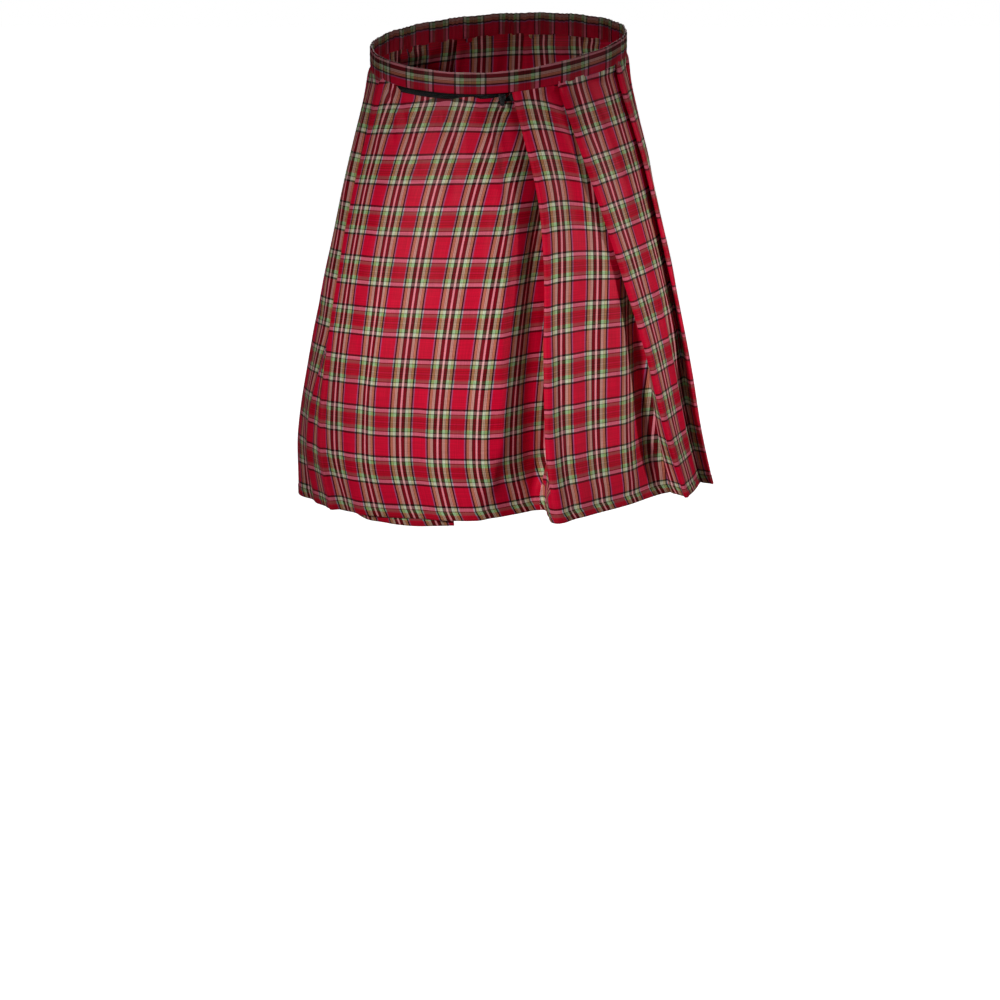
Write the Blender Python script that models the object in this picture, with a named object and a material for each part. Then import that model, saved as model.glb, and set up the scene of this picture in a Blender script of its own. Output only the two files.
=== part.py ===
"""A knee-length tartan kilt, worn: a waistband ring, a front apron and a skirt of knife pleats.

The skirt is one long strip of cloth. It starts with the free edge of the under-apron, inside the
front, runs round the wearer's right side, is pleated across the back and the wearer's left side, and
comes back over the front as the apron, whose free edge lies behind the wearer's right hip. Each
stretch of it between two hidden inner folds is one object. Angles are in degrees round the body, 0 at
the middle of the front, growing towards +X, and they fall along the strip. "Drop" is a share of the
cloth's length: 0 at the waist seam, 1 at the hem. The origin is the middle of the waist, X is across,
Y is towards the back and Z is up. Lengths are in metres.
"""
from collections import namedtuple
from math import atan2, cos, degrees, exp, hypot, radians, sin

import bmesh
import bpy

# Driving dimensions
CLOTH = 0.0015            # wall of one layer of cloth
HEM_CLOTH = 0.0025        # wall where the hem is turned up
HEM_TURN = 0.013          # height of the turned-up hem
BAND_CLOTH = 0.0026       # wall of the waistband, a folded casing
BAND_HEIGHT = 0.030
BAND_FRONT_LOSS = 0.003   # the band is this much lower at the front, where it leans
FRONT_DIP = 0.0085        # sag of the waist seam at the front
DIP_ANGLE = -5.0          # where that sag is deepest
SEAM_LEVEL = -0.0145      # height of the waist seam's plane over the origin
WAIST_PITCH = 0.155       # rise of the waist seam for each metre towards the back
WAIST_ROLL = 0.0594       # and for each metre to the right
HEM_LEVEL = -0.600
HEM_ROLL = 0.040
LAYER = 0.0032            # spacing of the layers in a closed pleat
SEAM_GAP = 0.0003
BAND_SIDE_SEAMS = (-62.0, 66.0)   # angles where the plain front band meets the gathered back band

Section = namedtuple("Section", "drop left right front back")
SECTIONS = (
    Section(0.00, 0.164, 0.170, 0.127, 0.127),
    Section(0.25, 0.204, 0.209, 0.140, 0.146),
    Section(0.60, 0.250, 0.255, 0.150, 0.154),
    Section(0.85, 0.277, 0.279, 0.154, 0.157),
    Section(1.00, 0.276, 0.298, 0.155, 0.158),
)

# A pleat: the angle of its outer fold at the five sections, how far its inner fold is tucked under it
# at the waist and at the hem (below zero it stands open), the drop where it starts to open, how deep
# the inner fold lies behind the outer one at the hem, and how far the outer fold is lifted there.
Pleat = namedtuple("Pleat", "name angles tuck hem_tuck opens hem_depth hem_lift straight")
RELEASED_TUCK = Pleat("apron_tuck", (-64.5, -67.0, -65.5, -61.5, -57.0),
                      0.010, -0.022, 0.30, 0.007, -0.008, 0.0)
FRONT_PLEAT = Pleat("pleat_front", (6.5, 15.0, 13.5, 11.0, 12.0),
                    0.020, -0.012, 0.80, 0.052, 0.030, 0.9)
SIDE_PLEATS = (
    Pleat("pleat_side_front", (27.0, 38.0, 49.0, 55.0, 58.0), 0.018, 0.004, 0.50, 0.032, 0.005, 0.7),
    Pleat("pleat_side", (65.0, 73.0, 77.0, 79.5, 80.5), 0.018, 0.006, 0.50, 0.016, 0.005, 0.5),
)
BACK_PLEATS = 5
BACK_PITCH = (32.0, 31.0, 29.5, 28.6, 28.2)   # angle from pleat to pleat at the five sections
BACK_TUCK = 0.018
BACK_HEM_TUCK = (0.004, -0.004, 0.006, 0.000, 0.003)
BACK_HEM_DEPTH = 0.020
BACK_HEM_LIFT = 0.006

APRON_EDGE = -116.0       # the apron's free edge, behind the wearer's right hip
UNDER_START = 346.0       # the under-apron's free edge, inside the front
UNDER_END = 256.0         # its seam to the pleated back
UNDER_HANG = 0.012        # it hangs this much lower than the rest
APRON_RISE = 17.0         # angle over which the apron comes out from under the front pleat

# Soft folds: a trough, or a ridge above zero, that deepens from a drop to the hem
Fold = namedtuple("Fold", "waist hem starts height half_width")
FOLDS = (
    Fold(-46.0, -52.0, 0.40, -0.010, 8.0),
    Fold(-84.0, -77.0, 0.20, -0.008, 9.0),
    Fold(-20.0, -26.0, 0.45, -0.004, 9.0),
)

# How far the under-apron lies inside the skirt, at the waist and at the hem
Inset = namedtuple("Inset", "angle waist hem")
INSETS = (
    Inset(346.0, 0.0115, 0.0170),
    Inset(334.0, 0.0115, 0.0110),
    Inset(320.0, 0.0115, 0.0230),
    Inset(306.0, 0.0115, 0.0440),
    Inset(285.0, 0.0115, 0.0400),
    Inset(256.0, 0.0110, 0.0180),
)

# Pocket zip under the waistband
ZIP_START = -54.5         # closed end, towards the wearer's right
ZIP_END = 5.0             # slider end, under the front pleat
ZIP_TALL = 0.0082         # height of tape that shows between the band and the apron, on the left
ZIP_LOW = 0.0048          # and on the right
ZIP_NARROWS = (-29.0, -15.0)
TAPE_CLOTH = 0.001
TAPE_OFFSET = 0.0021      # middle of the tape behind the middle of the apron
TAPE_PAST = 2.0           # angle of tape behind the apron past the closed end
TAPE_ABOVE = 0.003
TAPE_BELOW = 0.012
SLIDER_ANGLE = 1.5
SLIDER_SIZE = (0.0090, 0.0030, 0.0075)
SLIDER_DROP = 0.0048      # middle of the slider below the waist seam
SLIDER_OFFSET = 0.0016    # back of the slider in front of the middle of the apron
LEAN = 5.0                # lean of the slider and its tab, as the cloth behind them
BAR = 0.0012              # side of the square bar that the tab swings on
BAR_REACH = 0.0019        # from the slider's face to the middle of the bar
ARCH_WIDTH = 0.0066
EYE_BORE = 0.0010
EYE_RADIUS = 0.0016
EYE_WIDTH = 0.0026
TAB_WIDTH = 0.0052
TAB_LENGTH = 0.0110
TAB_THICKNESS = 0.0012

LEVELS = (0.0, 0.035, 0.09, 0.17, 0.27, 0.38, 0.50, 0.62, 0.74, 0.85, 0.93)

RED = (0.42, 0.012, 0.028)
DARK_RED = (0.26, 0.010, 0.020)
BLACK = (0.012, 0.013, 0.012)
DARK_METAL = (0.10, 0.10, 0.11)

def ease(x):
    x = min(max(x, 0.0), 1.0)
    return x * x * (3.0 - 2.0 * x)


def through(values, drop):
    """Smooth curve through one value for each section."""
    drops = [s.drop for s in SECTIONS]
    last = len(drops) - 1
    slopes = []
    for i in range(last + 1):
        a, b = max(i - 1, 0), min(i + 1, last)
        slopes.append((values[b] - values[a]) / (drops[b] - drops[a]))
    i = 0
    while i < last - 1 and drop > drops[i + 1]:
        i += 1
    span = drops[i + 1] - drops[i]
    u = (drop - drops[i]) / span
    return ((2 * u**3 - 3 * u**2 + 1) * values[i] + (u**3 - 2 * u**2 + u) * span * slopes[i]
            + (3 * u**2 - 2 * u**3) * values[i + 1] + (u**3 - u**2) * span * slopes[i + 1])


def reach(drop):
    """The section at a drop."""
    return Section(drop, *(through([s[k] for s in SECTIONS], drop) for k in range(1, 5)))


def ring(angle, drop, lift=0.0):
    """Plan point of the smooth skirt at an angle, moved out by a lift."""
    s = reach(drop)
    half, middle = (s.left + s.right) / 2, (s.right - s.left) / 2
    sine, cosine = sin(radians(angle)), cos(radians(angle))
    depth = s.front if cosine > 0 else s.back
    out_x, out_y = sine / half, -cosine / depth
    size = hypot(out_x, out_y)
    return middle + half * sine + lift * out_x / size, -depth * cosine + lift * out_y / size


def degrees_for(length, angle, drop):
    """Angle that a length covers along the ring."""
    a, b = ring(angle - 0.5, drop), ring(angle + 0.5, drop)
    return length / hypot(b[0] - a[0], b[1] - a[1])


def front_share(angle):
    """1 where the waist seam sags most, 0 round the back."""
    return max(0.0, cos(radians(angle - DIP_ANGLE))) ** 2


def seam_height(x, y):
    angle = degrees(atan2(x, -y))
    return SEAM_LEVEL + WAIST_ROLL * x + WAIST_PITCH * y - FRONT_DIP * front_share(angle)


def hem_height(x):
    return HEM_LEVEL + HEM_ROLL * x


def fold_lift(angle, drop):
    """Depth of the soft folds at a place on the skirt."""
    total = 0.0
    for fold in FOLDS:
        middle = fold.waist + (fold.hem - fold.waist) * drop
        growth = max(0.0, (drop - fold.starts) / (1.0 - fold.starts)) ** 1.3
        total += fold.height * growth * exp(-((angle - middle) / fold.half_width) ** 2)
    return total


def crest(pleat, drop):
    """Angle and lift of a pleat's outer fold."""
    return through(pleat.angles, drop), pleat.hem_lift * drop**2


def tuck_at(pleat, drop):
    """How far a pleat's inner fold lies under its outer one; below zero it stands open beside it."""
    opening = ease((drop - pleat.opens) / (1.0 - pleat.opens))
    return pleat.tuck + (pleat.hem_tuck - pleat.tuck) * opening


def openness(pleat, drop):
    """0 while the layers lie on each other, 1 where the two folds stand side by side."""
    return ease(-tuck_at(pleat, drop) / (2.0 * LAYER))


def valley(pleat, drop):
    """Angle and lift of the inner fold."""
    angle, lift = crest(pleat, drop)
    depth = LAYER + (pleat.hem_depth - LAYER) * drop**1.2
    return angle + degrees_for(tuck_at(pleat, drop), angle, drop), lift - depth


def after_valley(pleat, drop):
    """Angle and lift just past the inner fold: behind it in a closed pleat, beside it in an open one."""
    angle, lift = valley(pleat, drop)
    layer = degrees_for(LAYER, angle, drop)
    open_part = openness(pleat, drop)
    return angle - open_part * layer, lift - (1.0 - open_part) * LAYER


def inner_fold(pleat, drop, side):
    """One side of the cut through a pleat's inner fold: the middle of the bend, half a gap away."""
    angle, lift = valley(pleat, drop)
    layer = degrees_for(LAYER, angle, drop)
    gap = degrees_for(SEAM_GAP, angle, drop)
    open_part = openness(pleat, drop)
    closed_part = 1.0 - open_part
    return ring(angle + closed_part * layer / 2 - open_part * (layer - side * gap) / 2, drop,
                lift - closed_part * (LAYER - side * SEAM_GAP) / 2)


def outer_fold(pleat, drop):
    """The three points round a pleat's outer fold."""
    angle, lift = crest(pleat, drop)
    layer = degrees_for(LAYER, angle, drop)
    open_part = openness(pleat, drop)
    closed_part = 1.0 - open_part
    return [ring(angle, drop, lift),
            ring(angle - layer / 2, drop, lift - LAYER * (0.5 - 0.3 * open_part)),
            ring(angle - open_part * layer, drop, lift - LAYER * (1.0 - 0.4 * open_part))]


def panel(start, end, drop, count, straight, lift_of=None):
    """Plan points from one (angle, lift) to another, both left out, between the ring and a chord."""
    first, last = ring(start[0], drop, start[1]), ring(end[0], drop, end[1])
    points = []
    for i in range(1, count):
        u = i / count
        angle = start[0] + (end[0] - start[0]) * u
        lift = lift_of(angle, u) if lift_of else start[1] + (end[1] - start[1]) * u
        x, y = ring(angle, drop, lift)
        chord = straight * drop
        points.append((x + (first[0] + (last[0] - first[0]) * u - x) * chord,
                       y + (first[1] + (last[1] - first[1]) * u - y) * chord))
    return points


def under_crest(before, drop):
    """Where a stretch comes out from under the pleat before it on the strip."""
    angle, lift = after_valley(before, drop)
    crest_angle, _ = crest(before, drop)
    return min(angle, crest_angle) - 1.5, lift


def beyond(pleat, drop):
    """The two points of the strip on either side of the cut in a pleat's inner fold."""
    angle, lift = valley(pleat, drop)
    next_angle, next_lift = after_valley(pleat, drop)
    return ring(angle, drop, lift), ring(next_angle, drop, next_lift)


def coming_out(before, drop):
    """Points from the cut in the pleat before to where this stretch comes out from under it."""
    angle, lift = after_valley(before, drop)
    out_angle, _ = under_crest(before, drop)
    return [inner_fold(before, drop, -1), ring(angle, drop, lift),
            ring((angle + out_angle) / 2, drop, lift), ring(out_angle, drop, lift)]


def going_under(pleat, drop):
    """Points round a pleat's outer fold and back to the cut in its inner fold."""
    points = outer_fold(pleat, drop)
    (ax, ay), (bx, by) = points[-1], beyond(pleat, drop)[0]
    return points + [((ax + bx) / 2, (ay + by) / 2), (bx, by), inner_fold(pleat, drop, 1)]


def stretch(before, points, after, drop):
    """A stretch of the strip: the point before it, its own points and the point after it."""
    lead = [beyond(before, drop)[0]] if before else []
    trail = [beyond(after, drop)[1]] if after else []
    if before:
        points = coming_out(before, drop) + points
    if after:
        points = points + going_under(after, drop)
    return lead, points, trail


def pleat_columns(before, pleat, drop, count=5):
    """Out from under the pleat before, across the panel and round its own outer fold."""
    start, end = under_crest(before, drop), crest(pleat, drop)
    return stretch(before, panel(start, end, drop, count, pleat.straight), pleat, drop)


def first_pleat_columns(pleat, drop, count=5):
    """The first pleat of the back, which starts at the seam to the under-apron."""
    start = UNDER_END - degrees_for(SEAM_GAP, UNDER_END, drop), -under_inset(UNDER_END, drop)
    points = [ring(start[0], drop, start[1])] + panel(start, crest(pleat, drop), drop, count, 0.0)
    _, points, trail = stretch(None, points, pleat, drop)
    return [under_points(drop)[-2]], points, trail


def under_inset(angle, drop):
    """How far the under-apron lies inside the skirt."""
    i = 0
    while i < len(INSETS) - 2 and angle < INSETS[i + 1].angle:
        i += 1
    a, b = INSETS[i], INSETS[i + 1]
    u = ease((a.angle - angle) / (a.angle - b.angle))
    waist, hem = a.waist + (b.waist - a.waist) * u, a.hem + (b.hem - a.hem) * u
    return waist + (hem - waist) * drop**1.3


def under_points(drop, count=16):
    points = []
    for i in range(count + 1):
        angle = UNDER_START + (UNDER_END - UNDER_START) * i / count
        points.append(ring(angle, drop, -under_inset(angle, drop)))
    return points


def under_columns(drop):
    """The under-apron, with the next point of the back's first pleat past its end."""
    start = UNDER_END, -under_inset(UNDER_END, drop)
    return [], under_points(drop), panel(start, crest(back_pleats()[0], drop), drop, 5, 0.0)[:1]


def apron_lift(angle, drop):
    """Lift of the apron between the front pleat and the released tuck."""
    out_angle, out_lift = under_crest(FRONT_PLEAT, drop)
    tuck_angle, tuck_lift = crest(RELEASED_TUCK, drop)
    from_pleat = out_lift * (1.0 - ease((out_angle - angle) / APRON_RISE))
    level = (out_angle - APRON_RISE - angle) / (out_angle - APRON_RISE - tuck_angle)
    fade = ease((angle - tuck_angle) / 4.0)
    return from_pleat + tuck_lift * ease(level) + fold_lift(angle, drop) * fade


def apron_columns(drop, count=20):
    start, end = under_crest(FRONT_PLEAT, drop), crest(RELEASED_TUCK, drop)
    points = panel(start, end, drop, count, 0.0, lambda angle, u: apron_lift(angle, drop))
    return stretch(FRONT_PLEAT, points, RELEASED_TUCK, drop)


def apron_side_columns(drop, count=8):
    start, end = under_crest(RELEASED_TUCK, drop), (APRON_EDGE, 0.0)

    def lift(angle, u):
        fade = ease(u * 4.0) * ease((1.0 - u) * 4.0)
        return start[1] * (1.0 - ease(u * 1.6)) + fold_lift(angle, drop) * fade

    points = panel(start, end, drop, count, 0.0, lift) + [ring(APRON_EDGE, drop)]
    return stretch(RELEASED_TUCK, points, None, drop)


def zip_notch(angle):
    """How far the apron's top edge lies below the waist seam, over the pocket zip."""
    start, end = ZIP_NARROWS
    height = ZIP_TALL + (ZIP_LOW - ZIP_TALL) * ease((angle - start) / (end - start))
    return height * ease((angle - ZIP_START) / 5.0) * ease((ZIP_END + 5.0 - angle) / 5.0)


def side_normals(points, lead, trail):
    """Unit normals of a plan line, pointing to its left, which is outwards.

    Lead and trail are the points of the strip just past its two ends, where it goes on.
    """
    line = lead + points + trail
    normals = []
    for i in range(len(lead), len(lead) + len(points)):
        directions = []
        for a, b in ((i - 1, i), (i, i + 1)):
            if a < 0 or b >= len(line):
                continue
            dx, dy = line[b][0] - line[a][0], line[b][1] - line[a][1]
            size = hypot(dx, dy)
            directions.append((dx / size, dy / size))
        tx, ty = sum(d[0] for d in directions), sum(d[1] for d in directions)
        size = hypot(tx, ty)
        stretch = min(len(directions) / size, 1.25)
        normals.append((-ty / size * stretch, tx / size * stretch))
    return normals


def wall(name, rows, normals, thicknesses, colour, roughness=0.6):
    """A closed wall: rows of points from top to bottom, each moved half its thickness both ways."""
    mesh = bpy.data.meshes.new(name)
    bm = bmesh.new()
    outer, inner = [], []
    for row, row_normals, thickness in zip(rows, normals, thicknesses):
        sides = ([], [])
        for (x, y, z), (nx, ny) in zip(row, row_normals):
            for side, sign in zip(sides, (1, -1)):
                offset = sign * thickness / 2
                side.append(bm.verts.new((x + nx * offset, y + ny * offset, z)))
        outer.append(sides[0])
        inner.append(sides[1])
    last_row, last_column = len(rows) - 1, len(rows[0]) - 1
    for r in range(last_row):
        for c in range(last_column):
            bm.faces.new((outer[r][c], outer[r + 1][c], outer[r + 1][c + 1], outer[r][c + 1]))
            bm.faces.new((inner[r][c], inner[r][c + 1], inner[r + 1][c + 1], inner[r + 1][c]))
        for c in (0, last_column):
            bm.faces.new((outer[r][c], inner[r][c], inner[r + 1][c], outer[r + 1][c]))
    for c in range(last_column):
        for r in (0, last_row):
            bm.faces.new((outer[r][c], outer[r][c + 1], inner[r][c + 1], inner[r][c]))
    bm.normal_update()
    bmesh.ops.recalc_face_normals(bm, faces=bm.faces)
    bm.to_mesh(mesh)
    bm.free()
    return finished(name, mesh, colour, roughness)


def finished(name, mesh, colour, roughness=0.6, metallic=0.0):
    """An object from a mesh, with its own material, shaded smooth apart from its edges."""
    material = bpy.data.materials.new(name)
    material.use_nodes = True
    shader = material.node_tree.nodes["Principled BSDF"]
    shader.inputs["Base Color"].default_value = (*colour, 1.0)
    shader.inputs["Roughness"].default_value = roughness
    shader.inputs["Metallic"].default_value = metallic
    mesh.materials.append(material)
    mesh.shade_smooth()
    mesh.set_sharp_from_angle(angle=radians(50.0))
    obj = bpy.data.objects.new(name, mesh)
    bpy.context.scene.collection.objects.link(obj)
    return obj


def skirt_levels():
    """Drops of the rows, with two close ones where the hem is turned up, and the wall at each."""
    turn = 1.0 - HEM_TURN / (SEAM_LEVEL - HEM_LEVEL)
    drops = LEVELS + (turn - 0.003, turn, 1.0)
    return drops, [CLOTH] * (len(LEVELS) + 1) + [HEM_CLOTH] * 2


def under_hang(angle):
    """How much lower than the rest the under-apron hangs, from nothing at its seam."""
    return UNDER_HANG * ease((angle - (UNDER_END - 360.0)) / 25.0)


def skirt(name, columns, colour=RED, hang=None, notch=None):
    """A stretch of the skirt from the function that gives its plan points at a drop."""
    drops, thicknesses = skirt_levels()
    angles = [degrees(atan2(x, -y)) for x, y in columns(0.0)[1]]
    tops = [seam_height(x, y) - SEAM_GAP for x, y in columns(0.0)[1]]
    hems = [hem_height(x) - (hang(angle) if hang else 0.0)
            for (x, y), angle in zip(columns(1.0)[1], angles)]
    notches = [notch(angle) if notch else 0.0 for angle in angles]
    rows, normals = [], []
    for drop in drops:
        lead, points, trail = columns(drop)
        row = []
        for (x, y), top, hem, lowered in zip(points, tops, hems, notches):
            row.append((x, y, top + (hem - top) * drop - lowered * (1.0 - drop) ** 8))
        rows.append(row)
        normals.append(side_normals(points, lead, trail))
    return wall(name, rows, normals, thicknesses, colour)


def band(name, start, end, pieces):
    """A stretch of the waistband, upright on the waist seam."""
    edges = ([], [])
    for i in range(pieces + 1):
        angle = start + (end - start) * i / pieces
        x, y = ring(angle, 0.0)
        bottom = seam_height(x, y)
        height = BAND_HEIGHT - BAND_FRONT_LOSS * front_share(angle)
        edges[0].append((x, y, bottom + height))
        edges[1].append((x, y, bottom))
    normals = side_normals([(x, y) for x, y, z in edges[0]], [], [])
    return wall(name, edges, [normals] * 2, [BAND_CLOTH] * 2, RED)


def zip_tape():
    """The closed zip's tape, made from the points of the apron's top edge, moved in."""
    count = 22
    upper, lower = [], []
    for i in range(count + 1):
        angle = ZIP_END + (ZIP_START - TAPE_PAST - ZIP_END) * i / count
        x, y = ring(angle, 0.0, apron_lift(angle, 0.0) - TAPE_OFFSET)
        seam = seam_height(*ring(angle, 0.0))
        upper.append((x, y, seam + TAPE_ABOVE))
        lower.append((x, y, seam - TAPE_BELOW))
    normals = side_normals([(x, y) for x, y, z in upper], [], [])
    return wall("zip_tape", (upper, lower), [normals] * 2, [TAPE_CLOTH] * 2, BLACK, 0.5)


def block(name, size, centre, bevel):
    """A bevelled block about a centre."""
    mesh = bpy.data.meshes.new(name)
    bm = bmesh.new()
    bmesh.ops.create_cube(bm, size=1.0)
    bmesh.ops.scale(bm, vec=size, verts=bm.verts)
    bmesh.ops.translate(bm, vec=centre, verts=bm.verts)
    if bevel:
        bmesh.ops.bevel(bm, geom=bm.edges, offset=bevel, segments=2, profile=0.5, affect="EDGES")
    bm.to_mesh(mesh)
    bm.free()
    return mesh


def guide(name, mesh, parent):
    """A shape that is joined to another and doesn't show itself."""
    obj = bpy.data.objects.new(name, mesh)
    bpy.context.scene.collection.objects.link(obj)
    obj.hide_render = True
    obj.display_type = "WIRE"
    obj.parent = parent
    return obj


def unite(obj, others):
    for other in others:
        modifier = obj.modifiers.new(other.name, "BOOLEAN")
        modifier.operation = "UNION"
        modifier.solver = "EXACT"
        modifier.object = other


def slider_place():
    """Middle of the bar on the slider, on which the tab swings, and the slider's turn about Z."""
    points = []
    for angle in (SLIDER_ANGLE - 1.5, SLIDER_ANGLE, SLIDER_ANGLE + 1.5):
        points.append(ring(angle, 0.0, apron_lift(angle, 0.0) + SLIDER_OFFSET))
    (ax, ay), (x, y), (bx, by) = points
    yaw = atan2(by - ay, bx - ax)
    reach_out = SLIDER_SIZE[1] + BAR_REACH
    z = seam_height(*ring(SLIDER_ANGLE, 0.0)) - SLIDER_DROP
    return (x + reach_out * sin(yaw), y - reach_out * cos(yaw), z), yaw


def zip_slider():
    """The slider's body with the arch that holds its tab, about the bar's middle."""
    place = bpy.data.objects.new("slider_place", None)
    bpy.context.scene.collection.objects.link(place)
    place.location, yaw = slider_place()
    place.rotation_euler = (radians(-LEAN), 0.0, yaw)

    body = block("zip_slider", SLIDER_SIZE, (0.0, BAR_REACH + SLIDER_SIZE[1] / 2, 0.0), 0.0008)
    slider = finished("zip_slider", body, DARK_METAL, 0.35, 0.9)
    slider.parent = place
    bar = block("slider_bar", (ARCH_WIDTH, BAR, BAR), (0.0, 0.0, 0.0), 0.0)
    posts = []
    post_length = BAR_REACH + BAR / 2 + 0.0005
    for side in (-1, 1):
        centre = (side * (ARCH_WIDTH - BAR) / 2, (post_length - BAR) / 2, 0.0)
        mesh = block("slider_post", (BAR, post_length, BAR * 1.001), centre, 0.0)
        posts.append(guide("slider_post", mesh, place))
    unite(slider, [guide("slider_bar", bar, place)] + posts)
    return place


def barrel(name, radius, width):
    """A cylinder along X about the origin."""
    mesh = bpy.data.meshes.new(name)
    bm = bmesh.new()
    bmesh.ops.create_cone(bm, cap_ends=True, segments=20, radius1=radius, radius2=radius, depth=width)
    for vert in bm.verts:
        vert.co = (vert.co.z, vert.co.x, vert.co.y)
    bm.to_mesh(mesh)
    bm.free()
    return mesh


def pull_tab(place):
    """The tab: a plate hanging from an eye that turns on the slider's bar."""
    eye = barrel("pull_tab", EYE_RADIUS, EYE_WIDTH)
    tab = finished("pull_tab", eye, DARK_METAL, 0.35, 0.9)
    tab.parent = place
    plate_top = EYE_BORE + 0.00025
    plate = block("tab_plate", (TAB_WIDTH, TAB_THICKNESS, TAB_LENGTH - plate_top),
                  (0.0, 0.0, -(TAB_LENGTH + plate_top) / 2), 0.0005)
    unite(tab, [guide("tab_plate", plate, place)])
    bore = guide("eye_bore", barrel("eye_bore", EYE_BORE, EYE_WIDTH * 2), place)
    cut = tab.modifiers.new("eye_bore", "BOOLEAN")
    cut.operation = "DIFFERENCE"
    cut.solver = "EXACT"
    cut.object = bore
    return tab


def back_pleats():
    """The pleats of the back, evenly spaced on from the side pleat, as the strip meets them."""
    side = SIDE_PLEATS[-1]
    pleats = []
    for i in range(BACK_PLEATS, 0, -1):
        angles = tuple(a + i * pitch for a, pitch in zip(side.angles, BACK_PITCH))
        pleats.append(Pleat(f"pleat_back_{i}", angles, BACK_TUCK, BACK_HEM_TUCK[i - 1], 0.55,
                            BACK_HEM_DEPTH, BACK_HEM_LIFT, 0.4))
    return pleats


def main():
    for obj in list(bpy.data.objects):
        bpy.data.objects.remove(obj, do_unlink=True)

    left, right = BAND_SIDE_SEAMS
    gap = degrees_for(SEAM_GAP, right, 0.0)
    band("waistband_front", right, left, 26)
    band("waistband_back", 360.0 + left - gap, right + gap, 40)

    skirt("under_apron", under_columns, DARK_RED, hang=under_hang)
    chain = back_pleats() + list(reversed(SIDE_PLEATS)) + [FRONT_PLEAT]
    skirt(chain[0].name, lambda drop: first_pleat_columns(chain[0], drop))
    for before, pleat in zip(chain, chain[1:]):
        skirt(pleat.name, lambda drop, a=before, b=pleat: pleat_columns(a, b, drop))
    skirt("apron", apron_columns, notch=zip_notch)
    skirt("apron_side", apron_side_columns)

    zip_tape()
    place = zip_slider()
    pull_tab(place)


main()
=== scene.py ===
from math import atan2, ceil, cos, degrees, exp, hypot, pi, radians, sin
from types import SimpleNamespace

import bpy
import numpy as np
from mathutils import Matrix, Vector, noise


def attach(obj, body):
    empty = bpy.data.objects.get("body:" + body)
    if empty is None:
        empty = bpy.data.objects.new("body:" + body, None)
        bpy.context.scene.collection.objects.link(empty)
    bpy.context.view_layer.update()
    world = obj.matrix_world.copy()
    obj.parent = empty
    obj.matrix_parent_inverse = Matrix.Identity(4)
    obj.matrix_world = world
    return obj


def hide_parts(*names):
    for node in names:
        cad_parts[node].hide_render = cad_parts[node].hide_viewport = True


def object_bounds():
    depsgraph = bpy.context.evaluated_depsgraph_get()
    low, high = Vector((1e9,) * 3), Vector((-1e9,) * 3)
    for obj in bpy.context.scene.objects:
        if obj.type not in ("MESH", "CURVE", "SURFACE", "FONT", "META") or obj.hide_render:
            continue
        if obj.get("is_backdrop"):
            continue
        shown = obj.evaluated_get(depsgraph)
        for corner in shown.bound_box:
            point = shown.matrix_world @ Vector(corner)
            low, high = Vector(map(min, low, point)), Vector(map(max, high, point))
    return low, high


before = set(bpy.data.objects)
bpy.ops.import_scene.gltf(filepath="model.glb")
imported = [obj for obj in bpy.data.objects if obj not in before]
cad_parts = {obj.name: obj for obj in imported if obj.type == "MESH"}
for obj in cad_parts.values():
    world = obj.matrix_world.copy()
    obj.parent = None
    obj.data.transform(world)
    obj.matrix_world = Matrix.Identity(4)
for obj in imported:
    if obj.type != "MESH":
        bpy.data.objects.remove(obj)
cadBox = [list(corner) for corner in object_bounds()]
scene = bpy.context.scene
scene.view_settings.view_transform = "Standard"   # keeps a deep red deep

def addObject(name, data):
    obj = bpy.data.objects.new(name, data)
    scene.collection.objects.link(obj)
    return obj


# small helpers for node trees
def fill(tree, sockets, values):
    for key, value in values.items():
        if isinstance(value, bpy.types.NodeSocket):
            tree.links.new(value, sockets[key])
        else:
            sockets[key].default_value = value


def addNode(tree, kind, inputs=None, **settings):
    node = tree.nodes.new(kind)
    for key, value in settings.items():
        setattr(node, key, value)
    fill(tree, node.inputs, inputs or {})
    return node


def maths(tree, operation, a, b=0.0, c=0.0):
    return addNode(tree, "ShaderNodeMath", {0: a, 1: b, 2: c}, operation=operation).outputs[0]


def scaled(tree, colour, factor):
    return addNode(tree, "ShaderNodeVectorMath", {0: colour, "Scale": factor}, operation="SCALE").outputs[0]


def newGroup(name, inputs, outputs, kind="ShaderNodeTree"):
    tree = bpy.data.node_groups.new(name, kind)
    for label, socket, value in inputs:
        made = tree.interface.new_socket(name=label, in_out="INPUT", socket_type="NodeSocket" + socket)
        if value is not None:
            made.default_value = value
    for label, socket in outputs:
        tree.interface.new_socket(name=label, in_out="OUTPUT", socket_type="NodeSocket" + socket)
    return tree, tree.nodes.new("NodeGroupInput").outputs, tree.nodes.new("NodeGroupOutput").inputs


def placeGroup(tree, group, inputs):
    return addNode(tree, "ShaderNodeGroup", inputs, node_tree=group).outputs


def newMaterial(name):
    material = bpy.data.materials.new(name)
    material.use_nodes = True
    tree = material.node_tree
    return material, tree, tree.nodes["Principled BSDF"].inputs


def seenByCamera(tree):
    return addNode(tree, "ShaderNodeLightPath").outputs["Is Camera Ray"]


# camera, floor and light

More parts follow.
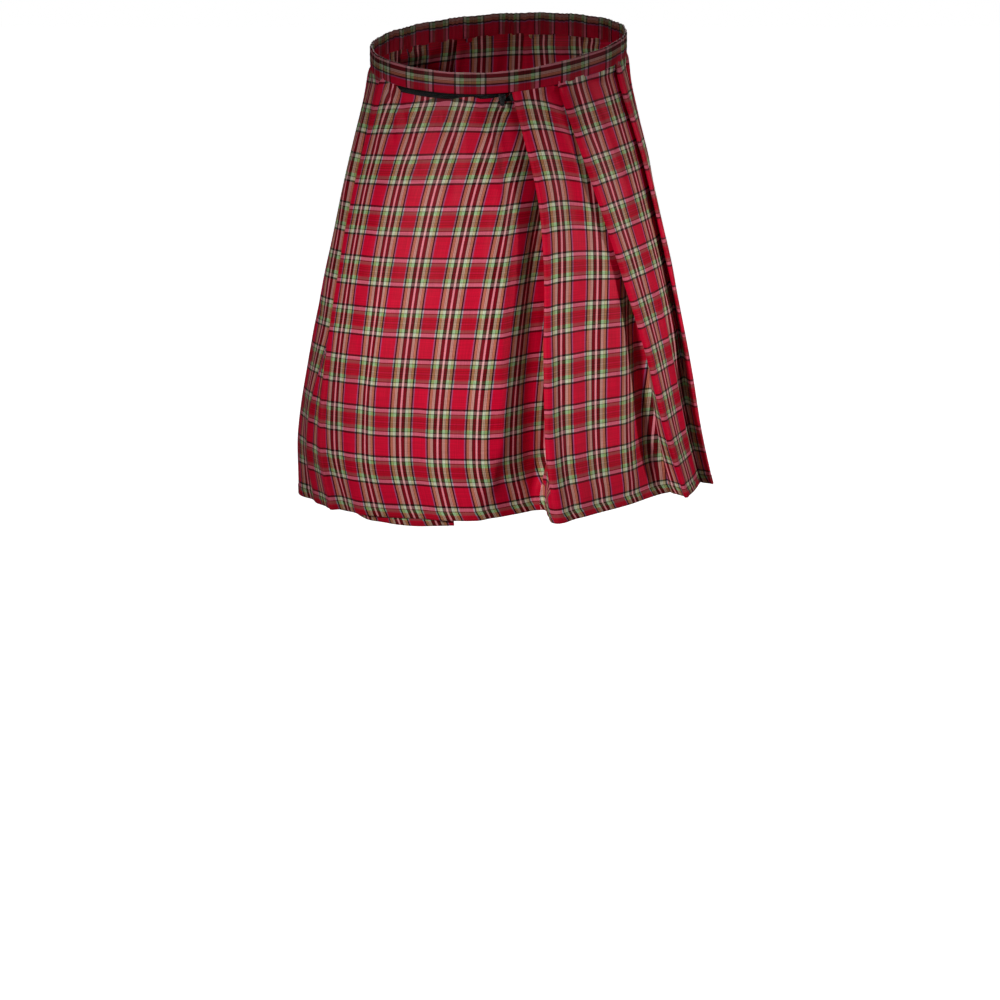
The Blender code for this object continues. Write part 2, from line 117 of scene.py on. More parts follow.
camera = {"place": (0.005, -3.0, 0.298), "tilt": 73.0, "lens": 81.0, "sensor": 36.0}
studio = {
    "floor": -1.05, "floorSize": 24.0, "floorColour": (0.40, 0.40, 0.41), "floorGlow": 1.0,
    "sky": 0.05, "skySeen": 1.0, "narrow": 0.78, "white": (1.0, 1.0, 1.0, 1.0),
    "lights": (   # name, place, size, watts, aim, cone in degrees
        ("keyLight", (-1.90, -2.55, 0.72), 0.20, 400.0, (0.10, 0.0, -0.45), 17.5),
        ("rightLight", (2.72, -0.95, 0.30), 0.14, 185.0, (0.14, 0.0, -0.34), 18.0),
        ("topLight", (0.0, 0.3, 2.6), 1.0, 10.0, (0.0, 0.0, -0.3), 0.0),
        ("frontLight", (0.3, -3.3, 0.2), 1.2, 4.0, (0.0, 0.0, -0.3), 0.0),
        ("backLight", (0.5, 2.6, 1.2), 1.8, 34.0, (0.0, 0.0, -0.3), 0.0),
    ),
}


def addCamera():
    data = bpy.data.cameras.new("camera")
    data.lens, data.sensor_width = camera["lens"], camera["sensor"]
    obj = addObject("camera", data)
    obj.location = camera["place"]
    obj.rotation_euler = (radians(camera["tilt"]), 0.0, 0.0)
    scene.camera = obj


def addFloor():
    half, level = studio["floorSize"] / 2, studio["floor"]
    mesh = bpy.data.meshes.new("floor")
    corners = [(-half, -half, level), (half, -half, level), (half, half, level), (-half, half, level)]
    mesh.from_pydata(corners, [], [(0, 1, 2, 3)])
    floor = addObject("floor", mesh)
    material, tree, shader = newMaterial("paleFloor")
    fill(tree, shader, {
        "Base Color": (*studio["floorColour"], 1.0), "Roughness": 0.9, "Emission Color": studio["white"],
        "Emission Strength": maths(tree, "MULTIPLY", seenByCamera(tree), studio["floorGlow"])})
    mesh.materials.append(material)
    floor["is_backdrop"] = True


def addSky():
    world = bpy.data.worlds.new("softSky")
    world.use_nodes = True
    tree = world.node_tree
    strength = addNode(tree, "ShaderNodeMapRange", {
        "Value": seenByCamera(tree), "To Min": studio["sky"], "To Max": studio["skySeen"]}).outputs[0]
    fill(tree, tree.nodes["Background"].inputs, {"Color": studio["white"], "Strength": strength})
    scene.world = world


def addLight(name, place, size, watts, aim, cone):
    light = bpy.data.lights.new(name, "SPOT" if cone else "AREA")
    light.energy = watts
    if cone:
        light.spot_size, light.spot_blend, light.shadow_soft_size = radians(cone), 1.0, size
    else:
        light.size = size
    obj = addObject(name, light)
    obj.location = place
    obj.rotation_euler = (Vector(aim) - Vector(place)).to_track_quat("-Z", "Y").to_euler()
    obj.scale = (studio["narrow"] if cone else 1.0, 1.0, 1.0)


addCamera()
addFloor()
addSky()
for values in studio["lights"]:
    addLight(*values)
print("camera, floor and lights set")

# Shape of the worn skirt. Angles are in degrees round the body from the middle of the front towards +X,
# drop is the share of the cloth's length from the waist seam to the hem, and lengths are in metres.

body = {
    "frontDip": 0.0085, "dipAngle": -5.0, "seamLevel": -0.0145, "waistPitch": 0.155, "waistRoll": 0.0594,
    "hemLevel": -0.600, "hemRoll": 0.040, "layer": 0.0032, "seamGap": 0.0003,
}
sectionDrops = (0.00, 0.25, 0.60, 0.85, 1.00)
sections = {   # half widths and depths at the drops above; reachAt gives them in this order
    "left": (0.164, 0.204, 0.250, 0.277, 0.276),
    "right": (0.170, 0.209, 0.255, 0.279, 0.298),
    "front": (0.127, 0.140, 0.150, 0.154, 0.155),
    "back": (0.127, 0.146, 0.154, 0.157, 0.158),
}


def ease(x):
    x = min(max(x, 0.0), 1.0)
    return x * x * (3.0 - 2.0 * x)


def curved(u, span, start, end, startSlope, endSlope):
    return ((2 * u**3 - 3 * u**2 + 1) * start + (u**3 - 2 * u**2 + u) * span * startSlope
            + (3 * u**2 - 2 * u**3) * end + (u**3 - u**2) * span * endSlope)


def through(values, drop):
    last = len(sectionDrops) - 1
    slopes = []
    for i in range(last + 1):
        a, b = max(i - 1, 0), min(i + 1, last)
        slopes.append((values[b] - values[a]) / (sectionDrops[b] - sectionDrops[a]))
    i = 0
    while i < last - 1 and drop > sectionDrops[i + 1]:
        i += 1
    span = sectionDrops[i + 1] - sectionDrops[i]
    return curved((drop - sectionDrops[i]) / span, span, *values[i:i + 2], *slopes[i:i + 2])


reachCache = {}


def reachAt(drop):
    if drop not in reachCache:
        reachCache[drop] = tuple(through(values, drop) for values in sections.values())
    return reachCache[drop]


def ring(angle, drop, lift=0.0):
    left, right, front, back = reachAt(drop)
    half, middle = (left + right) / 2, (right - left) / 2
    sine, cosine = sin(radians(angle)), cos(radians(angle))
    depth = front if cosine > 0 else back
    outX, outY = sine / half, -cosine / depth
    size = hypot(outX, outY)
    return middle + half * sine + lift * outX / size, -depth * cosine + lift * outY / size


def degreesFor(length, angle, drop):
    a, b = ring(angle - 0.5, drop), ring(angle + 0.5, drop)
    return length / hypot(b[0] - a[0], b[1] - a[1])


def frontShare(angle):
    return max(0.0, cos(radians(angle - body["dipAngle"]))) ** 2


def seamHeight(x, y):
    sag = body["frontDip"] * frontShare(degrees(atan2(x, -y)))
    return body["seamLevel"] + body["waistRoll"] * x + body["waistPitch"] * y - sag


def hemHeight(x):
    return body["hemLevel"] + body["hemRoll"] * x


def pleat(name, angles, tuck, hemTuck, opens, hemDepth, hemLift, straight, growth=1.2, covers=0.0):
    return SimpleNamespace(**locals())


releasedTuck = pleat("apron_tuck", (-64.5, -67.0, -65.5, -61.5, -57.0),
                     0.010, -0.022, 0.30, 0.007, -0.008, 0.0)
frontPleat = pleat("pleat_front", (6.5, 15.0, 13.5, 13.3, 13.2),
                   0.020, -0.012, 0.80, 0.066, 0.030, 0.9, 0.62, 4.5)
sidePleats = [
    pleat("pleat_side_front", (27.0, 38.0, 49.0, 55.0, 58.0), 0.018, 0.004, 0.50, 0.032, 0.005, 0.7),
    pleat("pleat_side", (65.0, 73.0, 77.0, 79.5, 80.5), 0.018, 0.006, 0.50, 0.016, 0.005, 0.5),
]
backPleats = {
    "pitch": (32.0, 31.0, 29.5, 28.6, 28.2), "tuck": 0.018, "opens": 0.55, "hemDepth": 0.020,
    "hemLift": 0.006, "straight": 0.4, "hemTucks": (0.004, -0.004, 0.006, 0.000, 0.003),
}
apronShape = {"edge": -116.0, "rise": 17.0}
apronFolds = (   # angle at the waist and at the hem, drop where it starts, height at the hem, half width
    (-46.0, -52.0, 0.40, -0.010, 8.0),
    (-84.0, -77.0, 0.20, -0.008, 9.0),
    (-20.0, -26.0, 0.45, -0.004, 9.0),
)
underApron = {"start": 346.0, "end": 256.0, "hang": 0.012}
underInsets = (   # angle, how far inside the skirt at the waist and at the hem
    (346.0, 0.0115, 0.0170), (334.0, 0.0115, 0.0110), (320.0, 0.0115, 0.0230),
    (306.0, 0.0115, 0.0440), (285.0, 0.0115, 0.0400), (256.0, 0.0110, 0.0180),
)
pocketZip = {
    "start": -61.0, "end": 5.0, "tall": 0.0102, "low": 0.0060, "narrows": (-29.0, -15.0), "opens": 7.0,
    "closes": 5.0,
    "tapeOffset": 0.0021, "tapePast": 2.0, "tapeAbove": 0.003, "tapeBelow": 0.012, "tapeMeets": 0.0015,
    "tapeTurn": 0.004,
}


def backPleatChain():
    side = sidePleats[-1]
    chain = []
    for i, hemTuck in reversed(list(enumerate(backPleats["hemTucks"], 1))):
        angles = tuple(a + i * pitch for a, pitch in zip(side.angles, backPleats["pitch"]))
        chain.append(pleat(f"pleat_back_{i}", angles, backPleats["tuck"], hemTuck, backPleats["opens"],
                           backPleats["hemDepth"], backPleats["hemLift"], backPleats["straight"]))
    return chain


def foldLift(angle, drop):
    total = 0.0
    for waist, hem, starts, height, halfWidth in apronFolds:
        growth = max(0.0, (drop - starts) / (1.0 - starts)) ** 1.3
        total += height * growth * exp(-((angle - waist - (hem - waist) * drop) / halfWidth) ** 2)
    return total


def crest(p, drop):
    return through(p.angles, drop), p.hemLift * drop**2


def tuckAt(p, drop):
    return p.tuck + (p.hemTuck - p.tuck) * ease((drop - p.opens) / (1.0 - p.opens))


def openness(p, drop):
    return ease(-tuckAt(p, drop) / (2.0 * body["layer"]))


def valley(p, drop):
    angle, lift = crest(p, drop)
    depth = body["layer"] + (p.hemDepth - body["layer"]) * drop**p.growth
    return angle + degreesFor(tuckAt(p, drop), angle, drop), lift - depth


def afterValley(p, drop):
    (angle, lift), openPart, layer = valley(p, drop), openness(p, drop), body["layer"]
    return angle - openPart * degreesFor(layer, angle, drop), lift - (1.0 - openPart) * layer


def innerFold(p, drop, side):
    angle, lift = valley(p, drop)
    wide = degreesFor(body["layer"], angle, drop)
    gap = degreesFor(body["seamGap"], angle, drop)
    openPart = openness(p, drop)
    closed = 1.0 - openPart
    return ring(angle + closed * wide / 2 - openPart * (wide - side * gap) / 2, drop,
                lift - closed * (body["layer"] - side * body["seamGap"]) / 2)


def outerFold(p, drop):
    angle, lift = crest(p, drop)
    layer = body["layer"]
    wide = degreesFor(layer, angle, drop)
    openPart = openness(p, drop)
    return [ring(angle, drop, lift),
            ring(angle - wide / 2, drop, lift - layer * (0.5 - 0.3 * openPart)),
            ring(angle - openPart * wide, drop, lift - layer * (1.0 - 0.4 * openPart))]


def panel(start, end, drop, count, straight, liftOf=None):
    first, last = ring(start[0], drop, start[1]), ring(end[0], drop, end[1])
    points = []
    for i in range(1, count):
        u = i / count
        angle = start[0] + (end[0] - start[0]) * u
        lift = liftOf(angle, u) if liftOf else start[1] + (end[1] - start[1]) * u
        x, y = ring(angle, drop, lift)
        chord = straight * drop
        points.append((x + (first[0] + (last[0] - first[0]) * u - x) * chord,
                       y + (first[1] + (last[1] - first[1]) * u - y) * chord))
    return points


def underCrest(before, drop):
    angle, lift = afterValley(before, drop)
    past = 1.5 - before.covers * ease(drop / 0.15)
    return min(angle - 1.5, crest(before, drop)[0] - past), lift


def beyond(p, drop):
    angle, lift = valley(p, drop)
    nextAngle, nextLift = afterValley(p, drop)
    return ring(angle, drop, lift), ring(nextAngle, drop, nextLift)


def comingOut(before, drop):
    angle, lift = afterValley(before, drop)
    outAngle = underCrest(before, drop)[0]
    return [innerFold(before, drop, -1), ring(angle, drop, lift),
            ring((angle + outAngle) / 2, drop, lift), ring(outAngle, drop, lift)]


def goingUnder(p, drop):
    points = outerFold(p, drop)
    (ax, ay), (bx, by) = points[-1], beyond(p, drop)[0]
    return points + [((ax + bx) / 2, (ay + by) / 2), (bx, by), innerFold(p, drop, 1)]


# Each function below gives a stretch's plan line at a drop: the point before it, its own points, the
# point after it, and which of its own points is its outer fold.

def stretch(before, points, after, drop, fold):
    lead = [beyond(before, drop)[0]] if before else []
    trail = [beyond(after, drop)[1]] if after else []
    if before:
        points = comingOut(before, drop) + points
        fold += 4
    if after:
        points = points + goingUnder(after, drop)
    return lead, points, trail, fold


def pleatLine(before, p, drop, count=6):
    points = panel(underCrest(before, drop), crest(p, drop), drop, count, p.straight)
    return stretch(before, points, p, drop, len(points))


def firstPleatLine(p, drop, count=6):
    start = underApron["end"] - degreesFor(body["seamGap"], underApron["end"], drop)
    inset = -underInset(underApron["end"], drop)
    points = [ring(start, drop, inset)] + panel((start, inset), crest(p, drop), drop, count, 0.0)
    lead = [underPoints(drop)[-2]]
    _, points, trail, fold = stretch(None, points, p, drop, len(points))
    return lead, points, trail, fold


def underInset(angle, drop):
    i = 0
    while i < len(underInsets) - 2 and angle < underInsets[i + 1][0]:
        i += 1
    (startAngle, startWaist, startHem), (endAngle, endWaist, endHem) = underInsets[i:i + 2]
    u = ease((startAngle - angle) / (startAngle - endAngle))
    waist, hem = startWaist + (endWaist - startWaist) * u, startHem + (endHem - startHem) * u
    return waist + (hem - waist) * drop**1.3


def underPoints(drop, count=16):
    points = []
    for i in range(count + 1):
        angle = underApron["start"] + (underApron["end"] - underApron["start"]) * i / count
        points.append(ring(angle, drop, -underInset(angle, drop)))
    return points


def underLine(drop):
    start = underApron["end"], -underInset(underApron["end"], drop)
    after = panel(start, crest(backPleatChain()[0], drop), drop, 5, 0.0)[:1]
    return [], underPoints(drop), after, 0


def apronLift(angle, drop):
    outAngle, outLift = underCrest(frontPleat, drop)
    tuckAngle, tuckLift = crest(releasedTuck, drop)
    rise = apronShape["rise"]
    near = max(1.0 - (outAngle - angle) / rise, 0.0)
    fromPleat = outLift * min(near, near * ease(near * 4.0), 1.0)
    level = (outAngle - rise - angle) / (outAngle - rise - tuckAngle)
    return fromPleat + tuckLift * ease(level) + foldLift(angle, drop) * ease((angle - tuckAngle) / 4.0)


def apronLine(drop, count=26):
    start, end = underCrest(frontPleat, drop), crest(releasedTuck, drop)
    points = panel(start, end, drop, count, 0.0, lambda angle, u: apronLift(angle, drop))
    return stretch(frontPleat, points, releasedTuck, drop, len(points))


def apronSideLine(drop, count=12):
    start, end = underCrest(releasedTuck, drop), (apronShape["edge"], 0.0)

    def lift(angle, u):
        fade = ease(u * 4.0) * ease((1.0 - u) * 4.0)
        return start[1] * (1.0 - ease(u * 1.6)) + foldLift(angle, drop) * fade

    points = panel(start, end, drop, count, 0.0, lift) + [ring(apronShape["edge"], drop)]
    return stretch(releasedTuck, points, None, drop, 0)


def zipNotch(angle):
    start, end = pocketZip["narrows"]
    tall, low, opens, closes = (pocketZip[key] for key in ("tall", "low", "opens", "closes"))
    height = tall + (low - tall) * ease((angle - start) / (end - start))
    opening = ease((angle - pocketZip["start"]) / opens)
    return height * opening * ease((pocketZip["end"] + closes - angle) / closes)


def underHang(angle):
    return underApron["hang"] * ease((angle - (underApron["end"] - 360.0)) / 25.0)


# fine cloth from the plan lines
cloth = {
    "thickness": 0.0011, "hemThickness": 0.0021, "hemTurn": 0.013, "spacing": 0.0028,
    "rowSpacing": 0.0042, "edgeTurn": 0.010, "turnStep": 0.0015, "edgeTaper": 0.0012,
    "topRows": (0.0, 0.002, 0.005, 0.009), "evenFrom": 0.0125, "turnRows": (0.004, 0.0012, 4),
    "lastRow": 0.0005,
}


def fineLine(lead, points, trail, steps):
    line = np.array(lead + points + trail)
    gaps = np.hypot(*np.diff(line, axis=0).T)[:, None]
    slopes = np.diff(line, axis=0) / gaps
    tangents = np.empty_like(line)
    tangents[1:-1] = (slopes[:-1] * gaps[1:] + slopes[1:] * gaps[:-1]) / (gaps[:-1] + gaps[1:])
    tangents[0], tangents[-1] = slopes[0], slopes[-1]
    fine = []
    for k in range(len(points) - 1):
        i = k + len(lead)
        u = np.arange(steps[k])[:, None] / steps[k]
        fine.append(curved(u, gaps[i], *line[i:i + 2], *tangents[i:i + 2]))
    fine.append(line[len(lead) + len(points) - 1][None, :])
    return np.concatenate(fine)


def rowDrops(length):
    turn, step = length - cloth["hemTurn"], cloth["turnStep"]
    count = ceil((turn - step - cloth["evenFrom"]) / cloth["rowSpacing"])
    past, before, extra = cloth["turnRows"]
    rows = [*cloth["topRows"], *np.linspace(cloth["evenFrom"], turn - step, count), turn, turn + step,
            *np.linspace(turn + past, length - before, extra), length - cloth["lastRow"], length]
    return np.array(rows) / length


def outward(points):
    across = np.gradient(points, axis=1)
    down = np.gradient(points, axis=0)
    normals = np.cross(across, down)
    return normals / np.linalg.norm(normals, axis=2, keepdims=True)


def clothGrid(lineAt, hang=None, notch=None):
    length = body["seamLevel"] - body["hemLevel"]
    drops = rowDrops(length)
    samples = [lineAt(drop) for drop in (0.0, 0.5, 1.0)]
    steps = []
    for k in range(len(samples[0][1]) - 1):
        longest = max(hypot(s[1][k + 1][0] - s[1][k][0], s[1][k + 1][1] - s[1][k][1]) for s in samples)
        steps.append(max(2, round(longest / cloth["spacing"])))
    fold = sum(steps[:samples[0][3]])
    plan = []
    for drop in drops:
        lead, points, trail, _ = lineAt(float(drop))
        plan.append(fineLine(lead, points, trail, steps))
    plan = np.array(plan)
    tops = np.array([seamHeight(x, y) for x, y in plan[0]]) - body["seamGap"]
    hems = np.array([hemHeight(x) for x, _ in plan[-1]])
    angles = np.degrees(np.arctan2(plan[0, :, 0], -plan[0, :, 1]))
    if hang:
        hems = hems - atAngles(hang, angles)
    heights = tops[None, :] + (hems - tops)[None, :] * drops[:, None]
    if notch:
        heights -= atAngles(notch, angles)[None, :] * (1.0 - drops[:, None]) ** 8
    points = np.dstack([plan, heights])
    along = np.zeros(plan.shape[:2])
    along[:, 1:] = np.cumsum(np.hypot(*np.moveaxis(np.diff(plan, axis=1), 2, 0)), axis=1)
    along = -(along - along[:, fold:fold + 1])      # distance from the outer fold, towards +angle
    rise = np.zeros(plan.shape[:2])
    rise[:-1] = np.cumsum(np.linalg.norm(np.diff(points, axis=0), axis=2)[::-1], axis=0)[::-1]
    down = rise[:1] - rise
    return SimpleNamespace(points=points, along=along, rise=rise, down=down, drops=drops, angles=angles)


def limited(values):
    return np.clip(values, 0.0, 1.0)


def atAngles(valueAt, angles):
    return np.array([valueAt(angle) for angle in angles])


def bump(distance, width):
    return np.exp(-(distance / width) ** 2)


def roughness(grid, seed, scaleAlong, scaleDown):
    spots = zip(grid.along.ravel() * scaleAlong, grid.down.ravel() * scaleDown)
    values = [noise.noise(Vector((a, d, seed))) for a, d in spots]
    return np.array(values).reshape(grid.along.shape)


def addCreases(grid, creases):
    # each crease: start (along, down), end (along, down), half width, height, sideways bow; in mm
    lift = np.zeros(grid.along.shape)
    for crease in np.array(creases).reshape(-1, 7) / 1000:
        startAlong, startDown, endAlong, endDown, width, height, bow = crease
        dx, dy = endAlong - startAlong, endDown - startDown
        size = hypot(dx, dy)
        t = ((grid.along - startAlong) * dx + (grid.down - startDown) * dy) / size**2
        off = ((grid.along - startAlong) * dy - (grid.down - startDown) * dx) / size
        off = off - bow * np.sin(pi * limited(t))
        ends = limited(np.minimum(t, 1.0 - t) / 0.3 + 0.35)
        ends = ends * ends * (3.0 - 2.0 * ends)
        wide = width * (0.75 + 0.5 * limited(t))
        lift += height * ends * (bump(off, wide) - 0.35 * bump(off - 1.6 * wide, wide * 0.8))
    return lift


def uneven(along, length, sway, swayLength, steady=1.0, beatLength=1.0, swaySeed=0.0, beatSeed=0.0):
    # waves of uneven length, and of uneven height where steady is below 1
    waves = np.sin(along / length + sway * np.sin(along / swayLength + swaySeed))
    return waves * (steady + (1.0 - steady) * np.sin(along / beatLength + beatSeed))


gatherWaves = (   # height, how far down it reaches, then length to beatLength of uneven, and its two seeds
    (0.00040, 0.010, 0.0017, 1.4, 0.009, 0.6, 0.017, 1.0, 2.1),
    (0.00090, 0.024, 0.0048, 1.3, 0.023, 1.0, 1.0, 1.7, 0.0),
    (0.00130, 0.075, 0.0105, 1.1, 0.041, 0.7, 0.03, 0.7, 1.0),
)
ropes = {
    "slant": 0.5, "waves": (0.0019, 1.3, 0.011, 0.55, 0.024), "fade": 0.003, "fadeIn": 0.005,
    "height": 0.00028,
}
roll = {"height": 0.0023, "wide": 0.009, "falls": 0.026, "rise": 1.3, "quick": 1.15}


def gathers(grid, strength, seed):
    # small uneven tucks that the waist seam holds, dying out down the cloth
    total = 0.0
    for height, reach, *shape, swaySeed, beatSeed in gatherWaves:
        waves = uneven(grid.along, *shape, swaySeed * seed, beatSeed * seed)
        total = total + height * waves * np.exp(-grid.down / reach)
    return strength * total


def hemRopes(grid, seed):
    # small slanting puckers along the turned-up hem
    waves = uneven(grid.along - ropes["slant"] * grid.rise, *ropes["waves"], seed)
    above = (cloth["hemTurn"] + ropes["fade"] - grid.rise) / ropes["fadeIn"]
    return ropes["height"] * waves * limited(grid.rise / ropes["fade"]) * limited(above)


def rollTop(grid, puff):
    # the gathered cloth rises over the seam in a soft roll, then falls back to its place
    height, wide = roll["height"] * puff, roll["wide"]
    u = limited(grid.down / wide)
    falls = np.exp(-(np.maximum(grid.down - wide, 0.0) / roll["falls"]) ** 2)
    up = roll["rise"] * height * np.sin(pi * limited(u * roll["quick"]))
    return height * (1.0 - np.cos(pi * u)) * falls, up


def addMesh(name, vertices, faces, corners):
    mesh = bpy.data.meshes.new(name)
    mesh.from_pydata(vertices.tolist(), [], faces.tolist())
    layer = mesh.uv_layers.new(name="clothCoords")
    layer.uv.foreach_set("vector", np.ascontiguousarray(corners, dtype=np.float32).ravel())
    mesh.update()
    mesh.shade_smooth()
    mesh.set_sharp_from_angle(angle=radians(55.0))
    return addObject(name, mesh)


def shellMesh(name, grid, clothCoords):
    count, columns = grid.rise.size, grid.rise.shape[1]
    extra = cloth["hemThickness"] - cloth["thickness"]
    turn = limited((cloth["hemTurn"] - grid.rise) / cloth["turnStep"] + 0.5)
    thick = cloth["thickness"] + extra * np.maximum(turn, grid.edge)
    nearEdge = limited(grid.rise / cloth["edgeTaper"])
    thick = thick * np.where(grid.rise < cloth["edgeTaper"], 0.45 + 0.55 * np.sqrt(nearEdge), 1.0)
    offset = grid.normals * (thick / 2)[:, :, None]
    vertices = np.concatenate([(grid.points + offset).reshape(-1, 3), (grid.points - offset).reshape(-1, 3)])
    index = np.arange(count).reshape(-1, columns)
    back = index + count
    a, b, c, d = index[:-1, :-1], index[1:, :-1], index[1:, 1:], index[:-1, 1:]
    outer = np.stack([a, d, c, b], axis=2).reshape(-1, 4)
    inner = np.stack([a, b, c, d], axis=2).reshape(-1, 4) + count

    def edge(line, backLine):
        return np.stack([line[:-1], line[1:], backLine[1:], backLine[:-1]], axis=1)

    faces = np.concatenate([
        outer, inner, edge(index[0, ::-1], back[0, ::-1])[::-1], edge(index[-1], back[-1]),
        edge(index[:, 0], back[:, 0]), edge(index[::-1, -1], back[::-1, -1])[::-1]])
    coords = clothCoords.reshape(-1, 2)
    return addMesh(name, vertices, faces, np.concatenate([coords, coords])[faces])


print("shape functions ready")


# The tartan, charted from the middle of each half sett outwards: where a stripe ends in mm, its yarn, and
# how much of that yarn shows over the yarns that cross it.
yarns = {
    "red": (206, 0, 50), "azure": (136, 134, 168), "black": (2, 2, 5), "maroon": (64, 0, 8),
    "white": (250, 178, 180), "paleGreen": (146, 190, 142), "cream": (214, 226, 188),
    "olive": (118, 130, 72), "straw": (206, 196, 124), "green": (96, 160, 92), "pale": (220, 204, 192),
    "midRed": (165, 10, 28), "midDark": (112, 0, 12), "midPink": (180, 40, 60),
}
tartan = {
    "warpSett": (
        (1.3, "white", 1.40), (5.2, "maroon", 0.60), (6.0, "black", 0.60), (6.7, "paleGreen", 0.66),
        (7.9, "cream", 0.78), (8.6, "paleGreen", 0.66), (9.7, "cream", 0.74), (10.5, "olive", 0.66),
        (11.6, "straw", 0.66), (12.2, "olive", 0.62), (13.1, "straw", 0.58), (15.0, "black", 0.86),
        (16.6, "azure", 0.50), (26.0, "red", 0.60),
    ),
    "weftSett": (
        (0.8, "midPink", 0.40), (2.5, "midDark", 0.40), (3.9, "midRed", 0.40), (5.1, "midDark", 0.40),
        (7.6, "midRed", 0.40), (9.4, "green", 0.30), (12.1, "green", 0.44), (13.2, "black", 0.34),
        (17.6, "pale", 0.53), (20.2, "black", 0.72), (33.35, "red", 0.40),
    ),
    "twill": 0.0016, "slubs": 0.24,
}
warpRepeat, weftRepeat = (2 * tartan[sett][-1][0] / 1000 for sett in ("warpSett", "weftSett"))


def settRamp(tree, place, sett):
    ramp = addNode(tree, "ShaderNodeValToRGB", {"Fac": place})
    ramp.color_ramp.interpolation = "CONSTANT"
    start, total = 0.0, sett[-1][0]
    for i, (end, yarn, cover) in enumerate(sett):
        stops = ramp.color_ramp.elements
        if i < 2:
            stops[i].position = start / total
        else:
            stops.new(start / total)
        stops[i].color = (*(channel / 255.0 for channel in yarns[yarn]), cover)
        start = end
    return ramp.outputs


def aroundOne(tree, given, result, cloud):
    centred = maths(tree, "SUBTRACT", cloud.outputs["Fac"], 0.5)
    tree.links.new(maths(tree, "MULTIPLY_ADD", centred, given["Strength"], 1.0), result["Value"])
    return tree


def streakGroup():
    # slubs and dye changes, which run a long way along a yarn and hardly any across it
    tree, given, result = newGroup("yarnStreaks", [
        ("Along", "Float", 0.0), ("Across", "Float", 0.0), ("Pitch", "Float", 0.0011),
        ("Length", "Float", 0.05), ("Strength", "Float", 0.12)], [("Value", "Float")])
    place = addNode(tree, "ShaderNodeCombineXYZ", {
        "X": maths(tree, "DIVIDE", given["Across"], given["Pitch"]),
        "Y": maths(tree, "DIVIDE", given["Along"], given["Length"])}).outputs[0]
    return aroundOne(tree, given, result, addNode(tree, "ShaderNodeTexNoise", {
        "Vector": place, "Scale": 1.0, "Detail": 2.0, "Roughness": 0.6}, noise_dimensions="2D"))


def patchGroup():
    # slow changes of tone over a surface, from handling and wear
    tree, given, result = newGroup("softPatches", [
        ("Vector", "Vector", None), ("Scale", "Float", 9.0), ("Strength", "Float", 0.2)],
        [("Value", "Float")])
    return aroundOne(tree, given, result, addNode(tree, "ShaderNodeTexNoise", {
        "Vector": given["Vector"], "Scale": given["Scale"], "Detail": 3.0, "Roughness": 0.55}))


def ribGroup():
    # slanting ribs, as of twill, tape or laid thread
    tree, given, result = newGroup("slantRibs", [
        ("Vector", "Vector", None), ("Pitch", "Float", 0.0016),
        ("Slant", "Float", 1.0)], [("Value", "Float")])
    parts = addNode(tree, "ShaderNodeSeparateXYZ", {0: given["Vector"]}).outputs
    diagonal = maths(tree, "MULTIPLY_ADD", parts["Y"], given["Slant"], parts["X"])
    turns = maths(tree, "MULTIPLY", maths(tree, "DIVIDE", diagonal, given["Pitch"]), 2 * pi)
    tree.links.new(maths(tree, "SINE", turns), result["Value"])
    return tree


def weaveGroup(yarnStreaks, slantRibs):
    tree, given, result = newGroup("tartanWeave", [
        ("Vector", "Vector", None), ("Warp Repeat", "Float", warpRepeat),
        ("Weft Repeat", "Float", weftRepeat), ("Twill", "Float", tartan["twill"]),
        ("Slubs", "Float", tartan["slubs"])],
        [("Color", "Color"), ("Height", "Float")])
    parts = addNode(tree, "ShaderNodeSeparateXYZ", {0: given["Vector"]}).outputs
    ramps = []
    for axis, repeat, sett in (("X", "Warp Repeat", "warpSett"), ("Y", "Weft Repeat", "weftSett")):
        half = maths(tree, "MULTIPLY", given[repeat], 0.5)
        place = maths(tree, "DIVIDE", maths(tree, "PINGPONG", parts[axis], half), half)
        ramps.append(settRamp(tree, place, tartan[sett]))
    (warpColour, warpCover), (weftColour, weftCover) = ramps
    share = maths(tree, "DIVIDE", weftCover, maths(tree, "ADD", warpCover, weftCover))
    rib = placeGroup(tree, slantRibs, {"Vector": given["Vector"], "Pitch": given["Twill"]})["Value"]
    share = maths(tree, "MULTIPLY_ADD", rib, 0.06, share)
    mixed = addNode(tree, "ShaderNodeMix", {"Factor": share, 6: warpColour, 7: weftColour}, data_type="RGBA")
    warps = placeGroup(tree, yarnStreaks, {
        "Along": parts["Y"], "Across": parts["X"], "Strength": given["Slubs"]})["Value"]
    wefts = placeGroup(tree, yarnStreaks, {
        "Along": parts["X"], "Across": parts["Y"], "Strength": given["Slubs"]})["Value"]
    streak = maths(tree, "MULTIPLY", warps, wefts)
    linear = addNode(tree, "ShaderNodeGamma", {"Color": scaled(tree, mixed.outputs[2], streak), "Gamma": 2.2})
    height = maths(tree, "MULTIPLY_ADD", rib, 0.25, maths(tree, "MULTIPLY", streak, 0.7))
    fill(tree, result, {"Color": linear.outputs[0], "Height": height})
    return tree


yarnStreaks, softPatches, slantRibs = streakGroup(), patchGroup(), ribGroup()
tartanWeave = weaveGroup(yarnStreaks, slantRibs)


def patchesOn(tree, scale, strength):
    place = addNode(tree, "ShaderNodeTexCoord").outputs["Object"]
    return placeGroup(tree, softPatches, {"Vector": place, "Scale": scale, "Strength": strength})["Value"]


def ribsOn(tree, coords, pitch, slant):
    return placeGroup(tree, slantRibs, {"Vector": coords, "Pitch": pitch, "Slant": slant})["Value"]


def clothPlace(tree):
    return addNode(tree, "ShaderNodeUVMap", uv_map="clothCoords").outputs[0]


